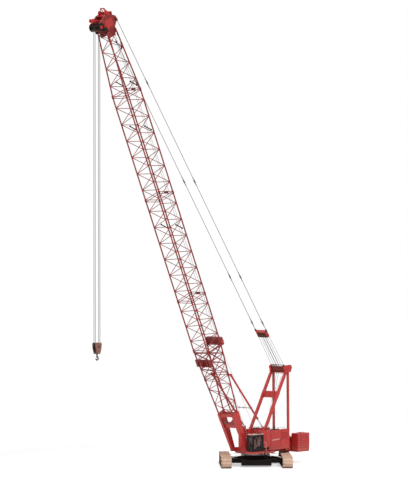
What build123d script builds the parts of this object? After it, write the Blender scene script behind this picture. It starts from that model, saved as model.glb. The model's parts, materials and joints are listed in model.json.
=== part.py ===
"""Crawler crane with a lattice boom, at half its real size.

Millimetres. +X is the way the boom points, +Y is the machine's left, +Z is up.
The origin is on the ground under the swing axis.
"""
import os
from math import cos, degrees, pi, radians, sin

from build123d import *

# ---- driving dimensions --------------------------------------------------------
fit = 0.3                  # seat clearance between neighbouring solids
play = 8                   # running clearance between pieces that move past each other

# crawlers and carbody
track_heading = 45         # the undercarriage as parked, turned from the boom's direction
track_gauge = 3425
track_length = 4450
track_height = 640
shoe_width = 575
shoe_thickness = 22
shoe_cover = 0.86          # share of the pitch that one shoe covers
shoe_count = 52
belt_thickness = 45
track_frame_width = 240
track_frame_height = 350
wheel_side = 40            # wheels and rollers stand out past the frame's sides by this
roller_radius = 62
roller_count = 9
roller_end_space = 60
carbody_width = 1500
carbody_length = 1700
carbody_bottom = 300
carbody_top = 620
carbody_corner = 200
axle_beam_offset = 760
axle_beam_width = 280
axle_beam_height = 240
axle_beam_z = 330
ballast_length = 520       # carbody counterweight, along the tracks
ballast_width = 1680
ballast_height = 330
ballast_bottom = 100
ballast_corner = 30
ring_radius = 800
ring_bore = 620
ring_height = 120
ring_plug_foot = 30        # the bed's round plug ends this far above the ring's underside

# rotating bed
bed_bottom = 750
bed_thickness = 310
bed_front = 1050
bed_rear = 2300
bed_half_width = 590
platform_radius = 1120
platform_thickness = 110
foot_x = 1300
foot_z = 950
foot_pin_radius = 45
foot_lug_thickness = 40
foot_lug_radius = 110
foot_lug_length = 600
foot_lug_gap = 2
deck_rise = 40             # cab deck's underside above the bed's
deck_border = 20
bracket_xs = (-1700, -700, 300)
bracket_width = 80
bracket_height = 110
bracket_setback = 30       # bracket ends in from the enclosures' faces
weight_arm_side = 100
weight_arm_end = 40

# winches: place along X, drum radius and drum length
drum_table = {
    "main_hoist_drum": (520, 210, 560),
    "auxiliary_hoist_drum": (-120, 210, 560),
    "boom_hoist_drum": (-760, 180, 560),
}
drum_z = 1420
drum_core = 0.72           # core radius as a share of the flange radius
drum_flange = 24
drum_shaft_radius = 45
drum_bearing_thickness = 40
drum_stand_half_width = (140, 90)     # at the bed and at the top
drum_stand_cap = 60        # top of the stand above the shaft
engine_size = (700, 760, 620)
engine_x = -1480
engine_corner = 30

# machinery enclosures
house_front = 475
house_rear = 1925
house_inner = 620
house_outer = 880
house_bottom = 900
house_top = 2000
house_wall = 20
door_width = 820
door_height = 800
door_x = -760              # middle of the door
door_gap = 8
door_hinge_inset = 150     # hinges in from the door's lower and upper edges
house_corner = 25

# door hinges
hinge_pin_radius = 6
hinge_barrel_radius = 12
hinge_stand_off = 14       # pin axis out from the wall's face
hinge_ear_thickness = 10
hinge_ear_width = 16
hinge_ear_offset = 4
hinge_gap = 2              # between ear and barrel
hinge_leaf = (36, 30)      # width, and middle of the leaf from the pin
hinge_bridge = (20, 8)
house_hinge_length = 90
cab_hinge_length = 80
hinge_clearance = 6        # pin axis past the door's edge

# counterweight
weight_front = 2330
weight_rear = 3330
wing_inner = 640
wing_outer = 1150
weight_bottom = 670
tray_thickness = 90
slab_height = 138
slab_count = 7
slab_corner = 50
tray_corner = 60
center_weight_height = 420
center_weight_setback = 240
center_weight_side = 20

# operator's cab
cab_front = 1530
cab_rear = 680
cab_inner = 760
cab_outer = 1250
cab_bottom = 880
cab_top = 1880
cab_wall = 25
cab_roof_visor = 30
cab_corner = 20
window_corner = 30
cab_door_front = 1400
cab_door_rear = 800
glass_thickness = 8
side_window_height = 520
side_window_z = 130        # above the wall's middle
side_window_border = 80
cab_door_gap = 6
cab_hinge_spread = 300     # hinges above and below the wall's middle
seat_base = (160, 160, 200)
seat_cushion = (260, 250, 60)
seat_back_height = 360

# gantry
gantry_top_x = -2050
gantry_top_z = 5350
gantry_leg_y = 545
gantry_front_foot_x = 350
gantry_rear_foot_x = -2180
front_leg_top_x = -1945
rear_leg_top_x = -2135
gantry_head_length = 520
gantry_head_back = 60       # middle of the head behind the sheave axis
gantry_head_height = 300
gantry_head_width = 110
gantry_leg_thickness = 90
front_leg_width = 150
rear_leg_width = 130
gantry_cross_height = 330
cross_tube_radius = 45
gantry_cross_z = 3960
gantry_sheave_radius = 190
gantry_sheave_count = 8
gantry_sheave_side = 90    # room beside the sheaves
gantry_pin_radius = 45
gantry_head_corner = 50
gantry_cross_thickness = 90
guard_thickness = 24
guard_width = 150
guard_past_sheave = 70
guard_roller_radius = 18
guard_roller_spread = 55

# boom
boom_angle = 65.5
boom_width = 1050          # between chord axes, across
boom_depth = 1150          # between chord axes, front to back
chord_radius = 39
lacing_radius = 19
lacing_pitch = 950
foot_leg_length = 2350     # plate legs above the foot pins
foot_leg_thickness = 150
butt_length = 6450         # foot pin to the first full-depth joint
insert_lengths = (3050, 6100, 6100)
top_length = 3650
head_width = 760
head_depth = 620
batten_inset = 75
head_plate_thickness = 30
head_sheave_radius = 200
head_sheave_count = 6
groove_share = 0.82        # groove's foot, as a share of the sheave's radius
head_sheave_drop = 620
head_sheave_past_end = 400   # along the boom, past the top section's end
jib_lug_past_end = 800
jib_lug_bore = 30
head_shaft_radius = 40
head_tube_radius = 45
guide_length = 420
guide_depth = 110
guide_wheel_radius = 130
guide_wheel_half_width = 60
guide_wheel_out = 75
rear_box_size = (460, 200)
rear_box_past_chord = 20

# pendants and their equalizer
pendant_past_end = 450
pendant_top_w = 560
pendant_radius = 14
pendant_y = 400
head_pin_radius = 25
equalizer_pin_radius = 25
equalizer_distance = 2450   # gantry pivot to the equalizer's sheave axis
equalizer_width = 700
equalizer_plate = 30
equalizer_sheave_radius = 150
equalizer_sheave_count = 7
equalizer_shaft_radius = 35
equalizer_beam = (90, 150)
pendant_socket_offset = 240
pendant_eye_length = 120
pendant_eye_width = 110

# boom stops
stop_s = 4550
stop_y = 700
stop_foot_x = 150
stop_foot_height = 190     # pin axis above the enclosures
stop_tube_radius = 55
stop_rod_radius = 34
stop_tube_length = 3400
stop_eye_radius = 50
stop_eye_thickness = 72    # wider than the rod, so the foot's pins stay clear of the rod's end
stop_lug_thickness = 16
stop_lug_radius = 45
stop_lug_base = 80
stop_head_radius = 70
stop_head_width = 90
stop_rod_start = 900
stop_pin_radius = 25

# hook
block_sheave_z = 7130
block_plate_thickness = 24
fall_radius = 10
block_shaft_radius = 35
hook_radius = 85
hook_thickness = 34
hook_shank_radius = 38
hook_bend_degrees = 250
shank_top_drop = 260       # below the block's sheave axis
hook_drop = 360            # hook's middle below the shank's top

# ---- working planes ------------------------------------------------------------
ground = Plane.XY
crawler = Plane.XY.rotated((0, 0, track_heading))
foot = Vector(foot_x, 0, foot_z)
along_boom = Vector(cos(radians(boom_angle)), 0, sin(radians(boom_angle)))
boom = Plane(origin=foot, x_dir=along_boom, z_dir=Vector(-along_boom.Z, 0, along_boom.X))
boom_top_s = butt_length + sum(insert_lengths) + top_length
head_sheave_s = boom_top_s + head_sheave_past_end
jib_lug_s = boom_top_s + jib_lug_past_end
pendant_top_s = boom_top_s + pendant_past_end
stop_foot_z = house_top + stop_foot_height
head_sheave_axis = boom.from_local_coords(Vector(head_sheave_s, 0, -head_sheave_drop))
gantry_top = Vector(gantry_top_x, 0, gantry_top_z)
pendant_top = boom.from_local_coords(Vector(pendant_top_s, 0, pendant_top_w))
rope_line = (pendant_top - gantry_top).normalized()
bridle = Plane(origin=gantry_top, x_dir=rope_line, z_dir=Vector(-rope_line.Z, 0, rope_line.X))


def side_plane(base, x=0, y=0, z=0):
    """A plane across base's Y, drawn with base's X to the right and base's Z up."""
    return Plane(origin=base.from_local_coords(Vector(x, y, z)), x_dir=base.x_dir, z_dir=-base.y_dir)


def cross_plane(base, x=0, y=0, z=0):
    """A plane across base's X, drawn with base's Y to the right and base's Z up."""
    return Plane(origin=base.from_local_coords(Vector(x, y, z)), x_dir=base.y_dir, z_dir=base.x_dir)


def bar(start, end, radius, bore=0):
    """A straight round bar or tube from one point to another."""
    with BuildPart() as piece:
        with BuildSketch(Plane(origin=start, z_dir=end - start)):
            Circle(radius)
            if bore:
                Circle(bore, mode=Mode.SUBTRACT)
        extrude(amount=(end - start).length)
    return piece.part.solid()


def box_bar(start, end, across, thickness):
    """A straight box section between two points of one XZ plane: across in that plane, thickness in Y."""
    along = (end - start).normalized()
    with BuildPart() as piece:
        with BuildSketch(Plane(origin=start, x_dir=(0, 1, 0), z_dir=along)):
            Rectangle(thickness, across)
        extrude(amount=(end - start).length)
    return piece.part.solid()


os.makedirs("parts", exist_ok=True)
sides = {"left": 1, "right": -1}

# ---- crawlers ------------------------------------------------------------------
wheel_distance = track_length - track_height
belt_radius = track_height / 2 - shoe_thickness
wheel_radius = belt_radius - belt_thickness - fit
belt_length = 2 * wheel_distance + 2 * pi * belt_radius
shoe_pitch = belt_length / shoe_count


def belt_place(distance):
    """Where a point of the belt lies, and the belt's direction there in degrees."""
    half = wheel_distance / 2
    if distance < wheel_distance:
        return -half + distance, -belt_radius, 0
    distance -= wheel_distance
    if distance < pi * belt_radius:
        turn = distance / belt_radius
        return half + belt_radius * sin(turn), -belt_radius * cos(turn), degrees(turn)
    distance -= pi * belt_radius
    if distance < wheel_distance:
        return half - distance, belt_radius, 180
    turn = pi + (distance - wheel_distance) / belt_radius
    return -half + belt_radius * sin(turn), -belt_radius * cos(turn), degrees(turn)


shoe_places = [belt_place((number + 0.5) * shoe_pitch) for number in range(shoe_count)]
roller_z = -belt_radius + belt_thickness + roller_radius + fit
roller_pitch = (wheel_distance - 2 * wheel_radius - roller_end_space) / roller_count
roller_xs = [(number - (roller_count - 1) / 2) * roller_pitch for number in range(roller_count)]

for side, sign in sides.items():
    track_side = side_plane(crawler, y=sign * track_gauge / 2, z=track_height / 2)
    with BuildPart() as track:
        with BuildSketch(track_side):
            SlotCenterToCenter(wheel_distance, 2 * belt_radius)
            for x, z, turn in shoe_places:
                with Locations(Location((x, z, 0), (0, 0, turn))):
                    Rectangle(shoe_pitch * shoe_cover, 2 * shoe_thickness)
            SlotCenterToCenter(wheel_distance, 2 * (belt_radius - belt_thickness), mode=Mode.SUBTRACT)
        extrude(amount=shoe_width / 2, both=True)
    track.part.label = f"{side}_track"
    export_step(track.part, f"parts/{side}_track.step")

    with BuildPart() as track_frame:
        with BuildSketch(track_side):
            with Locations((-wheel_distance / 2, 0), (wheel_distance / 2, 0)):
                Circle(wheel_radius)
            for x in roller_xs:
                with Locations((x, roller_z)):
                    Circle(roller_radius)
        extrude(amount=track_frame_width / 2 + wheel_side, both=True)
        with BuildSketch(track_side):
            with Locations((0, roller_z + track_frame_height / 2)):
                Rectangle(wheel_distance, track_frame_height)
        extrude(amount=track_frame_width / 2, both=True)
    track_frame.part.label = f"{side}_track_frame"
    export_step(track_frame.part, f"parts/{side}_track_frame.step")

# ---- carbody -------------------------------------------------------------------
beam_length = track_gauge - track_frame_width - 2 * fit
with BuildPart() as carbody:
    with BuildSketch(crawler.offset(carbody_bottom)):
        Rectangle(carbody_length, carbody_width)
        chamfer(vertices(), length=carbody_corner)
    extrude(amount=carbody_top - carbody_bottom)
    with BuildSketch(crawler.offset(axle_beam_z - axle_beam_height / 2)):
        with Locations((-axle_beam_offset, 0), (axle_beam_offset, 0)):
            Rectangle(axle_beam_width, beam_length)
    extrude(amount=axle_beam_height)
carbody.part.label = "carbody"
export_step(carbody.part, "parts/carbody.step")

ballast_x = max(carbody_length / 2, axle_beam_offset + axle_beam_width / 2) + fit + ballast_length / 2
for name, sign in {"front": 1, "rear": -1}.items():
    with BuildPart() as ballast:
        with BuildSketch(crawler.offset(ballast_bottom)):
            with Locations((sign * ballast_x, 0)):
                Rectangle(ballast_length, ballast_width)
        extrude(amount=ballast_height)
        chamfer(ballast.edges().filter_by(Axis.Z), length=ballast_corner)
    ballast.part.label = f"{name}_carbody_weight"
    export_step(ballast.part, f"parts/{name}_carbody_weight.step")

with BuildPart() as swing_ring:
    with BuildSketch(crawler.offset(carbody_top + fit)):
        Circle(ring_radius)
        Circle(ring_bore, mode=Mode.SUBTRACT)
    extrude(amount=ring_height)
swing_ring.part.label = "swing_ring"
export_step(swing_ring.part, "parts/swing_ring.step")

# ---- rotating bed --------------------------------------------------------------
bed_top = bed_bottom + bed_thickness
boom_leg_y = boom_width / 2
lug_offset = foot_leg_thickness / 2 + foot_lug_gap + foot_lug_thickness / 2
stand_low, stand_high = drum_stand_half_width
stand_top = drum_z + drum_stand_cap
with BuildPart() as rotating_bed:
    with BuildSketch(ground.offset(bed_bottom)):
        Circle(platform_radius)
    extrude(amount=platform_thickness)
    with BuildSketch(ground.offset(bed_bottom - ring_height + ring_plug_foot)):
        Circle(ring_bore - fit)
    extrude(amount=ring_height - ring_plug_foot)
    with BuildSketch(ground.offset(bed_bottom)):
        with Locations(((bed_front - bed_rear) / 2, 0)):
            Rectangle(bed_front + bed_rear, 2 * bed_half_width)
    extrude(amount=bed_thickness)
    # foot lugs and pins of the boom
    for sign in (-1, 1):
        for shift in (-lug_offset, lug_offset):
            with BuildSketch(side_plane(ground, foot_x, sign * boom_leg_y + shift, foot_z)):
                Circle(foot_lug_radius)
                Polygon((0, foot_lug_radius), (-foot_lug_length, foot_lug_radius),
                        (-foot_lug_length, -foot_lug_radius), (0, -foot_lug_radius), align=None)
            extrude(amount=foot_lug_thickness / 2, both=True)
        with BuildSketch(side_plane(ground, foot_x, sign * boom_leg_y, foot_z)):
            Circle(foot_pin_radius)
        extrude(amount=lug_offset + foot_lug_thickness / 2, both=True)
    deck_inner = boom_leg_y + lug_offset + foot_lug_thickness / 2 + play
    # deck under the cab and brackets under the enclosures
    with BuildSketch(ground.offset(bed_bottom + deck_rise)):
        with Locations(((cab_front + cab_rear) / 2, (deck_inner + cab_outer) / 2)):
            Rectangle(cab_front - cab_rear + 2 * deck_border, cab_outer - deck_inner + deck_border)
    extrude(amount=cab_bottom - bed_bottom - deck_rise - fit)
    with BuildSketch(ground.offset(house_bottom - bracket_height)):
        for x in bracket_xs:
            with Locations((x, 0)):
                Rectangle(bracket_width, 2 * (house_outer - bracket_setback))
    extrude(amount=bracket_height - fit)
    # arm that carries the counterweight tray
    with BuildSketch(ground.offset(weight_bottom + tray_thickness + fit)):
        with Locations((-(bed_rear + weight_rear) / 2 + tray_corner, 0)):
            Rectangle(weight_rear - bed_rear - weight_arm_end, 2 * (wing_inner - weight_arm_side))
    extrude(amount=bed_top - weight_bottom - tray_thickness - fit)
    # bearing stands of the winches
    for drum_x, drum_radius, drum_length in drum_table.values():
        for sign in (-1, 1):
            stand_y = sign * (drum_length / 2 + play + drum_bearing_thickness / 2)
            with BuildSketch(side_plane(ground, drum_x, stand_y, 0)):
                Polygon((-stand_low, bed_top), (stand_low, bed_top), (stand_high, stand_top),
                        (-stand_high, stand_top), align=None)
                with Locations((0, drum_z)):
                    Circle(drum_shaft_radius + fit, mode=Mode.SUBTRACT)
            extrude(amount=drum_bearing_thickness / 2, both=True)
rotating_bed.part.label = "rotating_bed"
export_step(rotating_bed.part, "parts/rotating_bed.step")

for name, (drum_x, drum_radius, drum_length) in drum_table.items():
    half = drum_length / 2
    with BuildPart() as drum:
        with BuildSketch(side_plane(ground, drum_x, 0, drum_z)):
            Circle(drum_radius * drum_core)
        extrude(amount=half, both=True)
        for sign in (-1, 1):
            with BuildSketch(side_plane(ground, drum_x, sign * (half - drum_flange / 2), drum_z)):
                Circle(drum_radius)
            extrude(amount=drum_flange / 2, both=True)
        with BuildSketch(side_plane(ground, drum_x, 0, drum_z)):
            Circle(drum_shaft_radius)
        extrude(amount=half + play + drum_bearing_thickness, both=True)
    drum.part.label = name
    export_step(drum.part, f"parts/{name}.step")

with BuildPart() as engine:
    with BuildSketch(ground.offset(bed_top + fit)):
        with Locations((engine_x, 0)):
            Rectangle(engine_size[0], engine_size[1])
    extrude(amount=engine_size[2])
    chamfer(engine.edges().group_by(Axis.Z)[-1], length=engine_corner)
engine.part.label = "engine"
export_step(engine.part, "parts/engine.step")

# ---- hinges of the doors -------------------------------------------------------


def hinge_pins(x, face_y, sign, z_levels, length, towards):
    """Pins between small ears on a wall's face, which looks along sign * Y; the door lies towards * X."""
    solids = []
    axis_y = face_y + sign * hinge_stand_off
    ear_depth = hinge_stand_off + hinge_gap
    pin_half = length / 2 + hinge_gap + hinge_ear_thickness
    for z in z_levels:
        with BuildPart() as pin:
            with BuildSketch(ground.offset(z - pin_half)):
                with Locations((x, axis_y)):
                    Circle(hinge_pin_radius)
            extrude(amount=2 * pin_half)
            for low in (z - pin_half, z + length / 2 + hinge_gap):
                with BuildSketch(ground.offset(low)):
                    with Locations((x, axis_y)):
                        Circle(hinge_barrel_radius)
                    with Locations((x - towards * hinge_ear_offset, axis_y - sign * ear_depth / 2)):
                        Rectangle(hinge_ear_width, ear_depth)
                extrude(amount=hinge_ear_thickness)
        solids.append(pin.part.solid())
    return solids


def hinge_barrels(x, face_y, sign, z_levels, length, towards):
    """Barrels round those pins, each with a leaf that reaches along towards * X onto the door's face."""
    solids = []
    axis_y = face_y + sign * hinge_stand_off
    leaf_width, leaf_middle = hinge_leaf
    bridge_width, bridge_depth = hinge_bridge
    for z in z_levels:
        with BuildPart() as barrel:
            with BuildSketch(ground.offset(z - length / 2)):
                with Locations((x, axis_y)):
                    Circle(hinge_barrel_radius)
                with Locations((x + towards * leaf_middle, face_y + sign * hinge_stand_off / 2)):
                    Rectangle(leaf_width, hinge_stand_off)
                with Locations((x + towards * bridge_width / 2, axis_y)):
                    Rectangle(bridge_width, bridge_depth)
                with Locations((x, axis_y)):
                    Circle(hinge_pin_radius + fit, mode=Mode.SUBTRACT)
            extrude(amount=length)
        solids.append(barrel.part.solid())
    return solids


# ---- machinery enclosures ------------------------------------------------------
house_length = house_front + house_rear
house_x = (house_front - house_rear) / 2
door_bottom = (house_bottom + house_top - door_height) / 2
door_levels = [door_bottom + door_hinge_inset, door_bottom + door_height - door_hinge_inset]
door_hinge_x = door_x + door_width / 2 + hinge_clearance
for side, sign in sides.items():
    middle_y = sign * (house_inner + house_outer) / 2
    with BuildPart() as house:
        with BuildSketch(ground.offset(house_bottom)):
            with Locations((house_x, middle_y)):
                RectangleRounded(house_length, house_outer - house_inner, house_corner)
        extrude(amount=house_top - house_bottom)
        with BuildSketch(ground.offset(house_bottom + house_wall)):
            with Locations((house_x, middle_y)):
                Rectangle(house_length - 2 * house_wall, house_outer - house_inner - 2 * house_wall)
        extrude(amount=house_top - house_bottom - 2 * house_wall, mode=Mode.SUBTRACT)
        with BuildSketch(side_plane(ground, door_x, sign * (house_outer - house_wall / 2), 0)):
            with Locations((0, door_bottom + door_height / 2)):
                Rectangle(door_width + 2 * door_gap, door_height + 2 * door_gap)
        extrude(amount=house_wall, both=True, mode=Mode.SUBTRACT)
        add(hinge_pins(door_hinge_x, sign * house_outer, sign, door_levels, house_hinge_length, -1))
        # lugs on the roof that take the foot of the boom stop
        for way in (-1, 1):
            lug_y = sign * stop_y + way * (stop_eye_thickness / 2 + play + stop_lug_thickness / 2)
            roof_z = house_top - stop_foot_z
            with BuildSketch(side_plane(ground, stop_foot_x, lug_y, stop_foot_z)):
                Circle(stop_lug_radius)
                Polygon((-stop_lug_radius, 0), (-stop_lug_base, roof_z), (stop_lug_base, roof_z),
                        (stop_lug_radius, 0), align=None)
            extrude(amount=stop_lug_thickness / 2, both=True)
            with BuildSketch(side_plane(ground, stop_foot_x, lug_y, stop_foot_z)):
                Circle(stop_pin_radius)
            extrude(amount=way * (stop_lug_thickness / 2 + play - fit))
    house.part.label = f"{side}_enclosure"
    export_step(house.part, f"parts/{side}_enclosure.step")

    with BuildPart() as house_door:
        with BuildSketch(side_plane(ground, door_x, sign * (house_outer - house_wall / 2), 0)):
            with Locations((0, door_bottom + door_height / 2)):
                Rectangle(door_width, door_height)
        extrude(amount=house_wall / 2, both=True)
        add(hinge_barrels(door_hinge_x, sign * house_outer, sign, door_levels, house_hinge_length, -1))
    house_door.part.label = f"{side}_enclosure_door"
    export_step(house_door.part, f"parts/{side}_enclosure_door.step")

# ---- counterweight -------------------------------------------------------------
weight_length = weight_rear - weight_front
weight_x = -(weight_front + weight_rear) / 2
with BuildPart() as weight_tray:
    with BuildSketch(ground.offset(weight_bottom)):
        with Locations((weight_x, 0)):
            RectangleRounded(weight_length, 2 * wing_outer, tray_corner)
    extrude(amount=tray_thickness)
weight_tray.part.label = "counterweight_tray"
export_step(weight_tray.part, "parts/counterweight_tray.step")

for side, sign in sides.items():
    with BuildPart() as slabs:
        for number in range(slab_count):
            with BuildSketch(ground.offset(weight_bottom + tray_thickness + fit + number * slab_height)):
                with Locations((weight_x, sign * (wing_inner + wing_outer) / 2)):
                    RectangleRounded(weight_length, wing_outer - wing_inner, slab_corner)
            extrude(amount=slab_height - fit)
    slabs.part.label = f"{side}_counterweight_slabs"
    export_step(slabs.part, f"parts/{side}_counterweight_slabs.step")

with BuildPart() as weight_block:
    with BuildSketch(ground.offset(bed_top + fit)):
        with Locations((weight_x - center_weight_setback / 2, 0)):
            Rectangle(weight_length - center_weight_setback, 2 * (wing_inner - center_weight_side))
    extrude(amount=center_weight_height)
    chamfer(weight_block.edges().group_by(Axis.Z)[-1], length=center_weight_side)
weight_block.part.label = "center_counterweight"
export_step(weight_block.part, "parts/center_counterweight.step")

# ---- gantry --------------------------------------------------------------------
head_underside = gantry_top_z - gantry_head_height / 2
with BuildPart() as front_legs:
    for sign in (-1, 1):
        low = Vector(gantry_front_foot_x, sign * gantry_leg_y, bed_top)
        high = Vector(front_leg_top_x, sign * gantry_leg_y, head_underside)
        reach = (high - low).normalized() * 100
        add(box_bar(low - reach, high + reach, front_leg_width, gantry_leg_thickness))
    with BuildSketch(side_plane(ground, 0, 0, 0)):
        share = (gantry_cross_z - bed_top) / (head_underside - bed_top)
        with Locations((gantry_front_foot_x + (front_leg_top_x - gantry_front_foot_x) * share, gantry_cross_z)):
            Rectangle(gantry_cross_thickness, gantry_cross_height)
    extrude(amount=gantry_leg_y, both=True)
    split(bisect_by=ground.offset(bed_top + fit), keep=Keep.TOP)
    split(bisect_by=ground.offset(head_underside - fit), keep=Keep.BOTTOM)
front_legs.part.label = "gantry_front_legs"
export_step(front_legs.part, "parts/gantry_front_legs.step")

with BuildPart() as rear_legs:
    for sign in (-1, 1):
        low = Vector(gantry_rear_foot_x, sign * gantry_leg_y, bed_top - 50)
        high = Vector(rear_leg_top_x, sign * gantry_leg_y, head_underside + 50)
        add(box_bar(low, high, rear_leg_width, gantry_leg_thickness))
    split(bisect_by=ground.offset(bed_top + fit), keep=Keep.TOP)
    split(bisect_by=ground.offset(head_underside - fit), keep=Keep.BOTTOM)
rear_legs.part.label = "gantry_rear_legs"
export_step(rear_legs.part, "parts/gantry_rear_legs.step")

sheave_pack_half = gantry_leg_y - gantry_head_width / 2 - gantry_sheave_side
with BuildPart() as gantry_head:
    for sign in (-1, 1):
        leg_y = sign * gantry_leg_y
        with BuildSketch(side_plane(ground, gantry_top_x - gantry_head_back, leg_y, gantry_top_z)):
            Rectangle(gantry_head_length, gantry_head_height)
            chamfer(vertices(), length=gantry_head_corner)
        extrude(amount=gantry_head_width / 2, both=True)
    with BuildSketch(side_plane(ground, gantry_top_x, 0, gantry_top_z)):
        Circle(gantry_pin_radius)
    extrude(amount=gantry_leg_y, both=True)
    cross_tube_x = gantry_top_x - gantry_sheave_radius - play - cross_tube_radius
    with BuildSketch(side_plane(ground, cross_tube_x, 0, gantry_top_z)):
        Circle(cross_tube_radius)
    extrude(amount=gantry_leg_y, both=True)
gantry_head.part.label = "gantry_head"
export_step(gantry_head.part, "parts/gantry_head.step")


def sheave_pack(plane, radius, half_width, bore, count):
    """Grooved sheaves side by side on one hub, turning round plane's normal."""
    pitch = 2 * half_width / count
    with BuildPart() as pack:
        with BuildSketch(plane):
            Circle(radius * groove_share)
            Circle(bore + fit, mode=Mode.SUBTRACT)
        extrude(amount=half_width, both=True)
        for number in range(count + 1):
            edge = plane.offset(-half_width + number * pitch)
            with BuildSketch(edge):
                Circle(radius)
                Circle(bore + fit, mode=Mode.SUBTRACT)
            if number == 0:
                extrude(amount=pitch * 0.18)
            elif number == count:
                extrude(amount=-pitch * 0.18)
            else:
                extrude(amount=pitch * 0.15, both=True)
    return pack.part


with BuildPart() as gantry_sheaves:
    add(sheave_pack(side_plane(ground, gantry_top_x, 0, gantry_top_z), gantry_sheave_radius,
                    sheave_pack_half, gantry_pin_radius, gantry_sheave_count))
gantry_sheaves.part.label = "gantry_sheaves"
export_step(gantry_sheaves.part, "parts/gantry_sheaves.step")

guard_y = sheave_pack_half + 30
guard_reach = gantry_sheave_radius + guard_past_sheave
with BuildPart() as rope_guard:
    for sign in (-1, 1):
        with BuildSketch(side_plane(bridle, y=sign * guard_y)):
            with Locations((guard_reach / 2, 0)):
                SlotCenterToCenter(guard_reach, guard_width)
            Circle(gantry_pin_radius + fit, mode=Mode.SUBTRACT)
        extrude(amount=guard_thickness / 2, both=True)
    with BuildSketch(side_plane(bridle, guard_reach + 20, 0, 0)):
        with Locations((0, -guard_roller_spread), (0, guard_roller_spread)):
            Circle(guard_roller_radius)
    extrude(amount=guard_y, both=True)
rope_guard.part.label = "gantry_rope_guard"
export_step(rope_guard.part, "parts/gantry_rope_guard.step")

# ---- equalizer and pendants ----------------------------------------------------
equalizer_half = equalizer_width / 2
equalizer_sheave_half = equalizer_half - 60
with BuildPart() as equalizer:
    for sign in (-1, 1):
        side_y = sign * (equalizer_half - equalizer_plate / 2)
        with BuildSketch(side_plane(bridle, equalizer_distance, side_y, 0)):
            with Locations((80, 0)):
                Rectangle(460, 200)
                chamfer(vertices(), length=60)
        extrude(amount=equalizer_plate / 2, both=True)
    with BuildSketch(side_plane(bridle, equalizer_distance)):
        Circle(equalizer_shaft_radius)
    extrude(amount=equalizer_half - equalizer_plate / 3, both=True)
    with BuildSketch(side_plane(bridle, equalizer_distance)):
        with Locations((pendant_socket_offset, 0)):
            Rectangle(*equalizer_beam)
    extrude(amount=pendant_y - pendant_radius - fit, both=True)
equalizer.part.label = "equalizer"
export_step(equalizer.part, "parts/equalizer.step")

with BuildPart() as equalizer_sheaves:
    add(sheave_pack(side_plane(bridle, equalizer_distance), equalizer_sheave_radius, equalizer_sheave_half,
                    equalizer_shaft_radius, equalizer_sheave_count))
equalizer_sheaves.part.label = "equalizer_sheaves"
export_step(equalizer_sheaves.part, "parts/equalizer_sheaves.step")

pendant_length = (pendant_top - gantry_top).length
pendant_socket = equalizer_distance + pendant_socket_offset
pendant_ends = {pendant_socket: (1, equalizer_pin_radius), pendant_length: (-1, head_pin_radius + fit)}
with BuildPart() as pendants:
    for sign in (-1, 1):
        start = bridle.from_local_coords(Vector(pendant_socket + 0.8 * pendant_eye_length, sign * pendant_y, 0))
        end = bridle.from_local_coords(Vector(pendant_length - 0.8 * pendant_eye_length, sign * pendant_y, 0))
        add(bar(start, end, pendant_radius))
        for x, (inward, bore) in pendant_ends.items():
            with BuildSketch(side_plane(bridle, x, sign * pendant_y, 0)):
                with Locations((inward * pendant_eye_length / 2, 0)):
                    SlotCenterToCenter(pendant_eye_length, pendant_eye_width)
                Circle(bore, mode=Mode.SUBTRACT)
            extrude(amount=pendant_radius, both=True)
pendants.part.label = "pendants"
export_step(pendants.part, "parts/pendants.step")

# ---- operator's cab ------------------------------------------------------------
cab_length = cab_front - cab_rear
cab_x = (cab_front + cab_rear) / 2
cab_width = cab_outer - cab_inner
cab_y = (cab_outer + cab_inner) / 2
wall_low = cab_bottom + cab_wall + fit
wall_high = cab_top - cab_wall - fit
wall_height = wall_high - wall_low
wall_mid = (wall_low + wall_high) / 2
inner_width = cab_width - 2 * cab_wall - 2 * fit

for name, z in {"cab_floor": cab_bottom, "cab_roof": cab_top - cab_wall}.items():
    over = cab_roof_visor if name == "cab_roof" else 0
    with BuildPart() as plate:
        with BuildSketch(ground.offset(z)):
            with Locations((cab_x + over / 2, cab_y)):
                RectangleRounded(cab_length + over, cab_width, cab_corner)
        extrude(amount=cab_wall)
    plate.part.label = name
    export_step(plate.part, f"parts/{name}.step")

# name: wall's middle along X, window width, window height, window centre above the wall's middle
end_walls = {
    "cab_front_panel": (cab_front - cab_wall / 2, inner_width - 90, wall_height - 130, 10),
    "cab_rear_panel": (cab_rear + cab_wall / 2, inner_width - 140, 420, 180),
}
glass = []
for name, (wall_x, window_width, window_height, window_z) in end_walls.items():
    with BuildPart() as panel:
        with BuildSketch(cross_plane(ground, wall_x, cab_y, wall_mid)):
            Rectangle(inner_width, wall_height)
            with Locations((0, window_z)):
                RectangleRounded(window_width, window_height, window_corner, mode=Mode.SUBTRACT)
        extrude(amount=cab_wall / 2, both=True)
    panel.part.label = name
    export_step(panel.part, f"parts/{name}.step")
    with BuildPart() as pane:
        with BuildSketch(cross_plane(ground, wall_x, cab_y, wall_mid + window_z)):
            RectangleRounded(window_width - 2 * fit, window_height - 2 * fit, window_corner - fit)
        extrude(amount=glass_thickness / 2, both=True)
    glass.append(pane.part.solid())

side_window_length = cab_length - 2 * side_window_border
with BuildPart() as inner_panel:
    with BuildSketch(side_plane(ground, cab_x, cab_inner + cab_wall / 2, wall_mid)):
        Rectangle(cab_length, wall_height)
        with Locations((0, side_window_z)):
            RectangleRounded(side_window_length, side_window_height, window_corner, mode=Mode.SUBTRACT)
    extrude(amount=cab_wall / 2, both=True)
inner_panel.part.label = "cab_inner_panel"
export_step(inner_panel.part, "parts/cab_inner_panel.step")
with BuildPart() as pane:
    with BuildSketch(side_plane(ground, cab_x, cab_inner + cab_wall / 2, wall_mid + side_window_z)):
        RectangleRounded(side_window_length - 2 * fit, side_window_height - 2 * fit, window_corner - fit)
    extrude(amount=glass_thickness / 2, both=True)
glass.append(pane.part.solid())

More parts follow.
